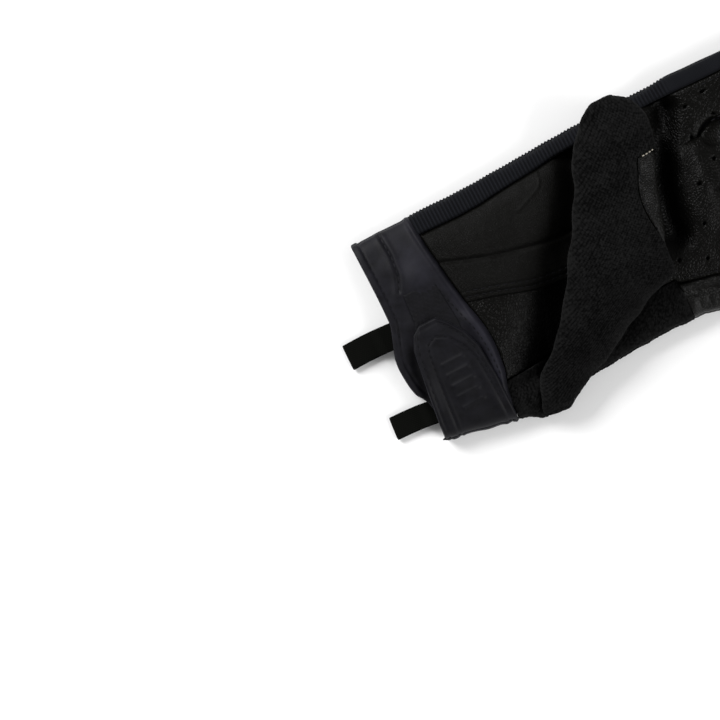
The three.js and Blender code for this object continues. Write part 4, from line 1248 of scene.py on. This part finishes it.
# The curved seam in the cuff, the tab's edges as x at each y, its pressed outlines and its grip bars
CUFF_CURVE = ((10.5, -0.5), (11, -10), (10, -18), (7.5, -24))
HEM_STITCH_INSET = 3.1
TAB_LAYER = 3.0
TAB_TIP = -39.6
TAB_STITCH_INSET = 2.0
TAB_OUT = (0, -0.4, 0.9)
tab_left = straight(((-100, -2.6), (-78, -2), (-66, -0.6), (-55, 1), (-48, 2), (-42.6, 4.4), (TAB_TIP, 8.5)))
tab_right = straight(((-100, 27.8), (-70, 27.4), (-57, 26.5), (-50, 24), (-44, 20), (TAB_TIP, 15.5)))
TAB_LEFT_LINE = ((12, -46.5), (8, -48.5), (6, -60), (5, -70), (3.4, -90))
TAB_RIGHT_LINE = ((12, -46.5), (17, -49), (21, -55), (23.4, -62), (24.2, -74), (24.6, -90))
TAB_RIBS = tuple(((10.0, y), (18.6, y)) for y in (-58, -62.6, -67.2, -71.8, -76.4))
LANDING_STITCH = ((21.5, -27), (23.5, -36), (25.5, -43), (28, -52), (29, -62), (28.8, -72))


def hem_height(opening):
    """The rolled hem: 0.55 mm high up to 2.4 mm from the opening, and gone from 3.2 mm"""
    return 0.55 * (1 - smooth(opening, 2.4, 3.2))


def cuff_ripple(x, y):
    """Low ripples of the cuff, which its landing patch follows"""
    return 0.15 * ripple(x, y, 15, 17)


def cuff_relief(x, y):
    """Relief of the cuff's palm side: a rolled hem along the opening, a ridge along the palm seam that
    swells beside the tab, the shallow curved seam with a bulge beside it, the hollow along the tab's lifted
    edge, each height * exp(-(distance / half width)^2), and soft ripples"""
    opening, seam = x - cuff_opening(y), cuff_seam(y) - x
    hem = hem_height(opening) - 0.35 * groove(opening - HEM_STITCH_INSET, 0.5)
    ridge = 0.9 * groove(seam - 1.5, 1.1)
    beside_tab = smooth(y, -80, -68) * (1 - smooth(y, -50, -40))
    swell = 2.0 * beside_tab * groove(seam - 3.0, 2.6)
    curved = distance_to(x, y, CUFF_CURVE)
    pressed = -0.5 * groove(curved, 0.55) + 0.25 * groove(curved - 1.4, 1.0)
    bulge = 1.2 * groove(np.hypot(x - 18, (y + 22) / 1.2), 7)
    sunk = -1.3 * groove(tab_left(y) - x - 0.5, 3.0) * (1 - smooth(y, -54, -46))
    return hem + ridge + swell + pressed + bulge + sunk + cuff_ripple(x, y)


def cuff_painted_sheen(x, y):
    """Painted light and shade on the cuff's knit: a painted highlight over its roll beside the tab and a
    painted sheen beside its curved seam, less painted shade where it lies hollow along the tab's lifted
    edge. Each is exp(-(distance / half width)^2)"""
    seam = cuff_seam(y) - x
    # Painted highlight on the roll, painted sheen beside the curved seam, painted shade along the tab's edge
    roll = (0.35 + 0.65 * smooth(y, -80, -70) * (1 - smooth(y, -42, -30))) * groove(seam - 2.2, 2.0)
    past_curve = smooth(distance_to(x, y, CUFF_CURVE), 0.5, 2.5)
    sheen = 0.9 * groove(np.hypot(x - 18, (y + 17) / 1.5), 6.5) * past_curve
    hollow = 0.6 * groove(tab_left(y) - x, 3.5) * (1 - smooth(y, -50, -44))
    return np.maximum(roll, sheen * (x > 10)) - hollow


def cuff_ring(along, across_steps, side_steps):
    """The cuff as rings: over the palm side, down the thumb side, back under it and up the little finger's
    side. x runs from the opening edge to the palm seam at each y"""
    top = spread(np.linspace(0, 1, across_steps + 1))
    side = np.linspace(0, 1, side_steps + 2)[1:-1]
    across = np.concatenate((top, np.ones_like(side), top[::-1], np.zeros_like(side)))[None, :]
    x = mix(0, 26, along)
    for _ in range(SETTLING):
        y = mix(cuff_little(x), cuff_index(x), across)
        x = mix(cuff_opening(y), cuff_seam(y) + GAP, along)
    half = 2 * across - 1
    upper = mix(HAND_SIDE[1], cuff_crown(x), dome(half, HAND_SQUARENESS))
    lower = mix(HAND_SIDE[0], 0, flat_belly(half)) + 0 * x
    drop = side[None, :] + 0 * along
    down, up = mix(HAND_SIDE[1], HAND_SIDE[0], drop), mix(HAND_SIDE[0], HAND_SIDE[1], drop)
    n, m = len(top), len(side)
    z = np.concatenate((upper[:, :n], down, lower[:, n + m:2 * n + m], up), axis=1)
    bow = 0.6 * np.sin(math.pi * drop)
    y = y + np.concatenate((np.zeros((len(along), n)), -bow, np.zeros((len(along), n)), bow), axis=1)
    on_top = np.concatenate((np.ones(n), 1 - side, np.zeros(n), side))[None, :]
    return stack(x, y, z), on_top


def build_cuff():
    """The cuff as closed rings with its relief on the palm side, a plain hem elsewhere, and both ends
    turned in by a quarter circle. None of it sinks below the floor. Its shading on the palm side is a
    painted highlight over the roll, a painted sheen beside the curved seam and painted shade along the tab's
    lifted edge"""
    along = np.linspace(0, 1, 73)[:, None]
    base, on_top = cuff_ring(along, 150, 5)
    x, y = base[..., 0], base[..., 1]
    ends = from_ends(base, 0)
    raised = mix(hem_height(walked(base, 0)), cuff_relief(x, y), on_top) - 0.7 * turned(ends, 1.0)
    points = raise_surface(base, raised, None, wrap=True)
    points[..., 2] = np.maximum(points[..., 2], 0.02)
    # The palm side carries painted highlight, sheen and shade as its shading
    make_piece("cuff_knit", [points], finish("cuff knit"), ("cuff_band",), wall=1.3, wrap=True,
               outward=None, tone=[cuff_painted_sheen(x, y) * on_top])


def build_landing_patch():
    """The landing patch: 0.6 mm over the cuff and its ripples, with a fine unevenness of its own, and edges
    that turn in by a quarter circle"""
    left = straight(((-78, 4), (-46, 4), (-38, 7), (-25.5, 8)))
    right = straight(((-78, 23.6), (-44, 23.6), (-26, 22)))
    y = np.linspace(-25.8, -78, 120)[:, None]
    x = mix(left(y), right(y), np.linspace(0, 1, 45)[None, :])
    y = y + 0 * x
    points = stack(x, y, cuff_height(x, y) + cuff_ripple(x, y) + 0.6 + 0.08 * ripple(x, y, 1.4, 3))
    edge = np.minimum(from_ends(points, 0), from_ends(points, 1))
    points[..., 2] -= 0.7 * turned(edge, 1.0)
    make_piece("landing_patch", [points], finish("brushed loop"), ("loop_patch",), wall=0.6)


def tab_relief(x, y):
    """Relief of the tab: a rolled border, two pressed outlines, raised grip bars, and a left edge that
    lifts, each height * exp(-(distance / half width)^2)"""
    left, right = x - tab_left(y), tab_right(y) - x
    edge = np.minimum(np.minimum(left, right), np.maximum(TAB_TIP - y, 0))
    lines = np.minimum(distance_to(x, y, TAB_LEFT_LINE), distance_to(x, y, TAB_RIGHT_LINE))
    pressed = -0.45 * groove(lines, 0.55) - 0.3 * groove(edge - TAB_STITCH_INSET, 0.45)
    ribs = sum(groove(distance_to(x, y, rib), 0.85) for rib in TAB_RIBS) * 0.45
    lifted = 1.5 * groove(y + 60, 13) * (1 - smooth(left, 0, 6))
    inside = -0.25 * smooth(lines, 0.5, 2.0) * smooth(edge, 5, 7)
    return pressed + ribs + lifted + inside + 0.15 * ripple(x, y, 13, 19)


def build_tab():
    """The tab over the cuff: from its tip across to the thumb side, then down the side. It lies one layer
    above the cuff along the cuff's own normals"""
    over = np.sin(np.linspace(0, math.pi / 2, 121))[:, None]
    share = np.linspace(0, 1, 61)[None, :]
    x = mix(4.0, 24.0, share) + 0 * over
    for _ in range(SETTLING):
        y = mix(TAB_TIP, cuff_index(x), over)
        x = mix(tab_left(y), tab_right(y), share)
    top = stack(x, y, cuff_height(x, y))
    drop = np.linspace(0, 1, 9)[1:, None]
    side = stack(x[-1:], y[-1:] - 0.5 * np.sin(math.pi * drop), mix(HAND_SIDE[1], 1.7, drop))
    base = np.concatenate((top, side))
    relief = np.concatenate((tab_relief(x, y), np.repeat(tab_relief(x[-1:], y[-1:]), len(side), axis=0)))
    edge = np.minimum(np.minimum(walked(base, 0), from_ends(base, 1)), 5)
    raised = TAB_LAYER + relief - 0.8 * turned(edge, 1.1)
    points = raise_surface(base, raised, TAB_OUT)
    make_piece("closure_tab_knit", [points], finish("tab knit"), ("closure_tab",), wall=1.5,
               outward=TAB_OUT)


# Pull loops: name, x and y of the fold, width, turn in degrees, and length
PULL_LOOPS = (
    ("pull_loop_upper", -22.8, -38.4, 10.8, -1.0, 31.0),
    ("pull_loop_lower", -19.4, -72.0, 9.7, -4.5, 27.5),
)
WEBBING_THICKNESS = 1.0
WEBBING_SPACE = 0.4
WEFT_PITCH = 1.1

# From the fold: where its bend begins, where the loop steps up under the cuff, and how far
LOOP_BEND = 1.2
LOOP_STEP = (11.5, 16)
LOOP_RISE = 1.9


def pull_loop(name, fold_x, fold_y, width, degrees, length):
    """Webbing folded double, seen from its side as a hairpin, and stepped up where it goes under the cuff;
    its section is a flat squarish ellipse along that line, thicker and thinner by the sine of its weft"""
    thick, space = WEBBING_THICKNESS, WEBBING_SPACE
    run = np.linspace(length, LOOP_BEND, 90)
    rise = LOOP_RISE * smooth(run, *LOOP_STEP)
    bend = np.linspace(-math.pi / 2, -3 * math.pi / 2, 15)[1:-1]
    radius = (thick + space) / 2
    x = np.concatenate((run, LOOP_BEND + radius * np.cos(bend), run[::-1]))
    lower, upper = thick / 2 + rise, thick * 1.5 + space + rise[::-1]
    z = np.concatenate((lower, thick / 2 + radius + radius * np.sin(bend), upper))
    tangent = np.gradient(np.stack((x, z), axis=1), axis=0)
    tangent /= np.linalg.norm(tangent, axis=1, keepdims=True)
    across, up = squarish(np.linspace(0, math.tau, 49)[None, :], 0.25, 0.6)
    across = across * width / 2
    way = np.concatenate(([0], np.cumsum(np.hypot(np.diff(x), np.diff(z)))))[:, None]
    up = up * thick / 2 * (1 + 0.05 * np.sin(math.tau * way / WEFT_PITCH))
    place_x = x[:, None] - tangent[:, 1:] * up
    place_z = z[:, None] + tangent[:, :1] * up
    c, s = math.cos(math.radians(degrees)), math.sin(math.radians(degrees))
    sway = 0.4 * np.sin(place_x / 7) + across
    plan_x = fold_x + place_x * c - sway * s
    plan_y = fold_y + place_x * s + sway * c
    points = stack(plan_x, plan_y, np.maximum(place_z, 0.01))
    cloth = np.stack(np.broadcast_arrays(way, across), axis=-1)
    make_piece(f"{name}_webbing", [points], finish("webbing"), (name,), closed=True, uv=[cloth])


def build_pull_loops():
    """Both pull loops, from their table"""
    for row in PULL_LOOPS:
        pull_loop(*row)


# Stitching

# y between which the hem and the tab are stitched, and how far inside a finger's side its stitches run
HEM_STITCHES = (-2.5, -44)
TAB_STITCHES = (-42.5, -82)
FINGER_STITCH_INSET = 1.8


def sew(name, rows, thread="dark thread"):
    """One piece from rows of stitches, each row a path, its normals and the stitches' sizes"""
    grids = []
    for path, normal, sizes in rows:
        grids.extend(stitch_grids(path, normal, **sizes))
    make_piece(name, grids, finish(thread), closed=True)


def offset_line(line, distance):
    """A plan line moved sideways by a distance, to its left"""
    x, y = line
    dx, dy = np.gradient(x), np.gradient(y)
    length = np.maximum(np.hypot(dx, dy), 1e-9)
    return x - dy / length * distance, y + dx / length * distance


def stitch_sizes(kind):
    """Sizes of a plain stitch or of a fine one, which is a fifth shorter"""
    look = chosen_look()
    length = look.stitch_length * (0.8 if kind == "fine" else 1)
    return {"length": length, "gap": 0.7, "width": look.thread_width, "high": look.thread_width * 0.8}


def cuff_top(x, y):
    """Height of the finished cuff: its own height and its relief"""
    return cuff_height(x, y) + cuff_relief(x, y)


def tab_top(x, y):
    """Height of the finished tab: the cuff's height, one layer and the tab's relief"""
    return cuff_height(x, y) + TAB_LAYER + tab_relief(x, y)


def sew_cuff():
    """Rows along the hem, the curved seam and the landing patch"""
    plain, fine = stitch_sizes("plain"), stitch_sizes("fine")
    y = np.linspace(*HEM_STITCHES, 160)
    sew("cuff_stitches", [
        (*on_height(cuff_top, (cuff_opening(y) + HEM_STITCH_INSET, y)), plain),
        (*on_height(cuff_top, smooth_line(CUFF_CURVE)), fine),
        (*on_height(cuff_top, smooth_line(LANDING_STITCH)), fine),
    ])


def sew_tab():
    """Rows along both edges of the tab, and as far along its two pressed outlines"""
    plain, fine = stitch_sizes("plain"), stitch_sizes("fine")
    end = TAB_STITCHES[1]
    y = np.linspace(*TAB_STITCHES, 200)
    sew("tab_stitches", [
        (*on_height(tab_top, (tab_left(y) + TAB_STITCH_INSET, y)), plain),
        (*on_height(tab_top, (tab_right(y) - TAB_STITCH_INSET, y)), plain),
        (*on_height(tab_top, smooth_line(TAB_LEFT_LINE[:-1] + ((3.8, end),))), fine),
        (*on_height(tab_top, smooth_line(TAB_RIGHT_LINE[:-1] + ((24.4, end),))), fine),
    ])


def sew_heel_patch():
    """Two rows at even distances inside the patch's border"""
    plain = stitch_sizes("plain")
    border = smooth_line(HEEL_BORDER[:-2])
    rows = [(*on_height(heel_height, offset_line(border, inset)), plain) for inset in HEEL_INSETS]
    sew("heel_patch_stitches", rows)


def sew_fingers():
    """A row along each side of each finger, and one along the hand's seam with the index side"""
    plain = stitch_sizes("plain")
    rows = []
    for ray in range(len(FINGERS)):
        tip = FINGERS[ray][6] - 4
        for side, number in ((-1, ray), (1, ray + 1)):
            x = np.linspace(PARTING[number][0] + 6, tip, 200)
            line = palm_sides(ray)(x)[0 if side < 0 else 1] + side * FINGER_STITCH_INSET
            rows.append((*on_height(partial(top_height, ray), (x, line)), plain))
    x = np.linspace(111, 146, 120)
    line = radial_seam(x) + FINGER_STITCH_INSET
    rows.append((*on_height(partial(top_height, INDEX), (x, line), 0.1), plain))
    sew("finger_stitches", rows)


def sew_thumb():
    """A row of narrow stitches just inside the leather's edge, and the light bar tack across its end"""
    row = np.linspace(7.9, 10.7, 120)
    path = thumb_point(row, 360 + leather_edge(row) - 5)
    up = np.array((0, 0, 1.0)) + 0 * path
    sew("thumb_stitches", [(path, up, {**stitch_sizes("fine"), "width": 0.35})])

    share = np.linspace(0, 1, 60)
    path = thumb_point(mix(10.73, 10.91, share), mix(52, 17, share))
    path[:, 2] += 0.3
    up = np.array((0.3, 0, 1.0)) + 0 * path
    tack = {"length": 1.3, "gap": 0.25, "width": 0.5, "high": 0.6}
    sew("thumb_bar_tack", [(path, up, tack)], "light thread")


# What a user would change


class GloveLook(bpy.types.PropertyGroup):
    """Sizes and colours of the glove's cloth, leather and thread"""

    grain_size: FloatProperty(
        name="Grain size", description="Width of a pebble of the palm leather's grain, in millimetres",
        default=1.2, min=0.2, max=5.0)
    rib_pitch: FloatProperty(
        name="Rib pitch", description="Distance between two ribs of the side gusset, in millimetres",
        default=1.5, min=0.5, max=5.0)
    pile_height: FloatProperty(
        name="Pile height", description="Height of the thumb's towelling loops, in millimetres",
        default=0.5, min=0.0, max=2.0)
    loop_pitch: FloatProperty(
        name="Loop pitch", description="Distance between two towelling loops, in millimetres",
        default=1.0, min=0.4, max=3.0)
    stitch_length: FloatProperty(
        name="Stitch length", description="Length of a stitch, in millimetres",
        default=2.3, min=0.5, max=6.0)
    thread_width: FloatProperty(
        name="Thread width", description="Width of the sewing thread, in millimetres",
        default=0.45, min=0.1, max=1.5)
    leather: FloatVectorProperty(
        name="Leather", description="Colour of the palm leather", subtype="COLOR", size=3,
        default=(0.003, 0.0029, 0.0025), min=0, max=1)
    terry: FloatVectorProperty(
        name="Towelling", description="Colour of the thumb's towelling", subtype="COLOR", size=3,
        default=(0.0028, 0.0028, 0.0028), min=0, max=1)
    cuff: FloatVectorProperty(
        name="Cuff", description="Colour of the cuff's knit", subtype="COLOR", size=3,
        default=(0.0032, 0.0031, 0.0045), min=0, max=1)
    knit: FloatVectorProperty(
        name="Knit", description="Colour of the rib knit and the back", subtype="COLOR", size=3,
        default=(0.005, 0.0054, 0.007), min=0, max=1)
    webbing: FloatVectorProperty(
        name="Webbing", description="Colour of the pull loops", subtype="COLOR", size=3,
        default=(0.0032, 0.0034, 0.0028), min=0, max=1)
    thread: FloatVectorProperty(
        name="Thread", description="Colour of the sewing thread", subtype="COLOR", size=3,
        default=(0.005, 0.005, 0.006), min=0, max=1)
    light_thread: FloatVectorProperty(
        name="Light thread", description="Colour of the bar tack at the thumb", subtype="COLOR", size=3,
        default=(0.28, 0.26, 0.22), min=0, max=1)
    floor: FloatVectorProperty(
        name="Floor", description="Colour of the sheet that the glove lies on", subtype="COLOR", size=3,
        default=(0.92, 0.92, 0.92), min=0, max=1)


class GloveStage(bpy.types.PropertyGroup):
    """Camera and light"""

    field: FloatProperty(
        name="Field", description="Width of what the camera sees at the glove",
        default=0.288, min=0.05, max=2, unit="LENGTH")
    camera_turn: FloatProperty(
        name="Camera turn", description="Turn of the camera about the upright", default=math.radians(-27),
        subtype="ANGLE")
    camera_height: FloatProperty(
        name="Camera height", description="Height of the camera over the floor",
        default=3.21, min=0.3, max=20, unit="LENGTH")
    left_light: FloatProperty(
        name="Left light", description="Power of the soft light at the upper left of the view, in watts",
        default=23.5, min=0, max=500)
    right_light: FloatProperty(
        name="Right light", description="Power of the soft light at the right of the view, in watts",
        default=10.5, min=0, max=500)
    surroundings: FloatProperty(
        name="Surroundings", description="Strength of the light from all round", default=0.36, min=0, max=5)


# Middle of the camera's view in the glove's plan; then, in metres, the height in focus and the floor
CAMERA_CENTRE = np.array((-18.74, -41.18))
SEEN_HEIGHT = 0.01
FLOOR_HALF = 6.0
FLOOR_LEVEL = -0.0003

# Soft lights: across and up the camera's view, both times their distance, and their height, in metres
LIGHT_SIZE = 0.8
LIGHT_DISTANCE = 1.05
LEFT_LIGHT = (-0.75, 0.66, 0.75)
RIGHT_LIGHT = (0.9, -0.3, 0.65)


def view_centre():
    """Middle of the camera's view on the floor, in metres"""
    return (CAMERA_CENTRE + PLAN_ORIGIN[:2]) * MM


def build_floor():
    """The sheet on which the glove lies, a hair below it"""
    mesh = bpy.data.meshes.new("floor")
    sides = ((-1, -1), (1, -1), (1, 1), (-1, 1))
    corners = [(x * FLOOR_HALF, y * FLOOR_HALF, FLOOR_LEVEL) for x, y in sides]
    mesh.from_pydata(corners, [], [(0, 1, 2, 3)])
    mesh.materials.append(finish("floor"))
    floor = bpy.data.objects.new("floor", mesh)
    bpy.context.scene.collection.objects.link(floor)


def build_camera():
    """The camera straight over the glove: its lens is the sensor's width times distance over field"""
    scene = bpy.context.scene
    stage = scene.glove_stage
    data = bpy.data.cameras.new("camera")
    data.sensor_width = 36
    data.lens = data.sensor_width * (stage.camera_height - SEEN_HEIGHT) / stage.field
    data.clip_start, data.clip_end = 0.1, 50
    camera = bpy.data.objects.new("camera", data)
    camera.location = (*view_centre(), stage.camera_height)
    camera.rotation_euler = (0, 0, stage.camera_turn)
    scene.collection.objects.link(camera)
    scene.camera = camera
    scene.view_settings.view_transform = "Standard"


def soft_light(name, power, place):
    """A square soft light that faces the middle of the view. The way across and up the view is turned into
    the plan by the cosine and the sine of the camera's turn"""
    across, along, height = place
    turn = bpy.context.scene.glove_stage.camera_turn
    way_x = across * math.cos(turn) - along * math.sin(turn)
    way_y = across * math.sin(turn) + along * math.cos(turn)
    x, y = view_centre()
    lamp = bpy.data.lights.new(name, "AREA")
    lamp.energy = power
    lamp.size = LIGHT_SIZE
    light = bpy.data.objects.new(name, lamp)
    bpy.context.scene.collection.objects.link(light)
    light.location = (x + way_x * LIGHT_DISTANCE, y + way_y * LIGHT_DISTANCE, height)
    facing = Vector((x, y, 0)) - light.location
    light.rotation_euler = facing.to_track_quat("-Z", "Y").to_euler()


def build_lights():
    """Both soft lights, and the even light from all round"""
    scene = bpy.context.scene
    stage = scene.glove_stage
    soft_light("left_light", stage.left_light, LEFT_LIGHT)
    soft_light("right_light", stage.right_light, RIGHT_LIGHT)
    world = bpy.data.worlds.new("surroundings")
    world.use_nodes = True
    background = world.node_tree.nodes["Background"]
    background.inputs["Color"].default_value = (1, 1, 1, 1)
    background.inputs["Strength"].default_value = stage.surroundings
    scene.world = world


# Operators, panel and registration


class PieceOperator:
    """Runs its builders in order. What one of them raises goes on and stops the script"""

    bl_options = {"REGISTER", "UNDO"}

    def execute(self, context):
        for build in self.builders:
            build()
        return {"FINISHED"}


class GLOVE_OT_stage(PieceOperator, bpy.types.Operator):
    """Makes the floor, the camera and the lights"""

    bl_idname = "glove.stage"
    bl_label = "Stage"
    builders = (build_floor, build_camera, build_lights)


class GLOVE_OT_cuff(PieceOperator, bpy.types.Operator):
    """Makes the knit cuff and the landing patch on it"""

    bl_idname = "glove.cuff"
    bl_label = "Cuff"
    builders = (build_cuff, build_landing_patch)


class GLOVE_OT_tab(PieceOperator, bpy.types.Operator):
    """Makes the closure tab"""

    bl_idname = "glove.tab"
    bl_label = "Closure tab"
    builders = (build_tab,)


class GLOVE_OT_pull_loops(PieceOperator, bpy.types.Operator):
    """Makes the two pull loops of folded webbing"""

    bl_idname = "glove.pull_loops"
    bl_label = "Pull loops"
    builders = (build_pull_loops,)


class GLOVE_OT_palm(PieceOperator, bpy.types.Operator):
    """Makes the palm leather and the padded patch on its heel"""

    bl_idname = "glove.palm"
    bl_label = "Palm"
    builders = (build_palm, build_heel_patch)


class GLOVE_OT_sides(PieceOperator, bpy.types.Operator):
    """Makes the gusset, the leather on the index side and the strips between the fingers"""

    bl_idname = "glove.sides"
    bl_label = "Sides"
    builders = (build_gusset, build_index_side, build_fourchettes)


class GLOVE_OT_back(PieceOperator, bpy.types.Operator):
    """Makes the back of the hand, on which the glove lies"""

    bl_idname = "glove.back"
    bl_label = "Back"
    builders = (build_back,)


class GLOVE_OT_thumb(PieceOperator, bpy.types.Operator):
    """Makes the folded thumb's towelling and leather"""

    bl_idname = "glove.thumb"
    bl_label = "Thumb"
    builders = (build_thumb, build_thumb_side, build_thumb_leather)


class GLOVE_OT_stitching(PieceOperator, bpy.types.Operator):
    """Sews the stitches that show"""

    bl_idname = "glove.stitching"
    bl_label = "Stitching"
    builders = (sew_cuff, sew_tab, sew_heel_patch, sew_fingers, sew_thumb)


STEPS = (GLOVE_OT_stage, GLOVE_OT_cuff, GLOVE_OT_tab, GLOVE_OT_pull_loops, GLOVE_OT_palm, GLOVE_OT_sides,
         GLOVE_OT_back, GLOVE_OT_thumb, GLOVE_OT_stitching)


class GLOVE_PT_panel(bpy.types.Panel):
    """Lists the glove's steps and what can be changed"""

    bl_idname = "GLOVE_PT_panel"
    bl_label = "Glove"
    bl_space_type = "VIEW_3D"
    bl_region_type = "UI"
    bl_category = "Glove"

    def draw(self, context):
        for group in (context.scene.glove_look, context.scene.glove_stage):
            for name in group.bl_rna.properties.keys():
                if name not in ("rna_type", "name"):
                    self.layout.prop(group, name)
        for step in STEPS:
            self.layout.operator(step.bl_idname)


CLASSES = (GloveLook, GloveStage, *STEPS, GLOVE_PT_panel)


def register():
    """Makes the classes and the scene's two groups of settings known"""
    for made in CLASSES:
        bpy.utils.register_class(made)
    bpy.types.Scene.glove_look = PointerProperty(type=GloveLook)
    bpy.types.Scene.glove_stage = PointerProperty(type=GloveStage)


def unregister():
    """Takes away what register made, in the opposite order"""
    del bpy.types.Scene.glove_stage
    del bpy.types.Scene.glove_look
    for made in reversed(CLASSES):
        bpy.utils.unregister_class(made)


def main():
    """Registers the add-on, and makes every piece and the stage"""
    register()
    for step in STEPS:
        section, name = step.bl_idname.split(".")
        if getattr(getattr(bpy.ops, section), name)() != {"FINISHED"}:
            raise RuntimeError(f"{step.bl_label} was not finished")


if __name__ == "__main__":
    main()
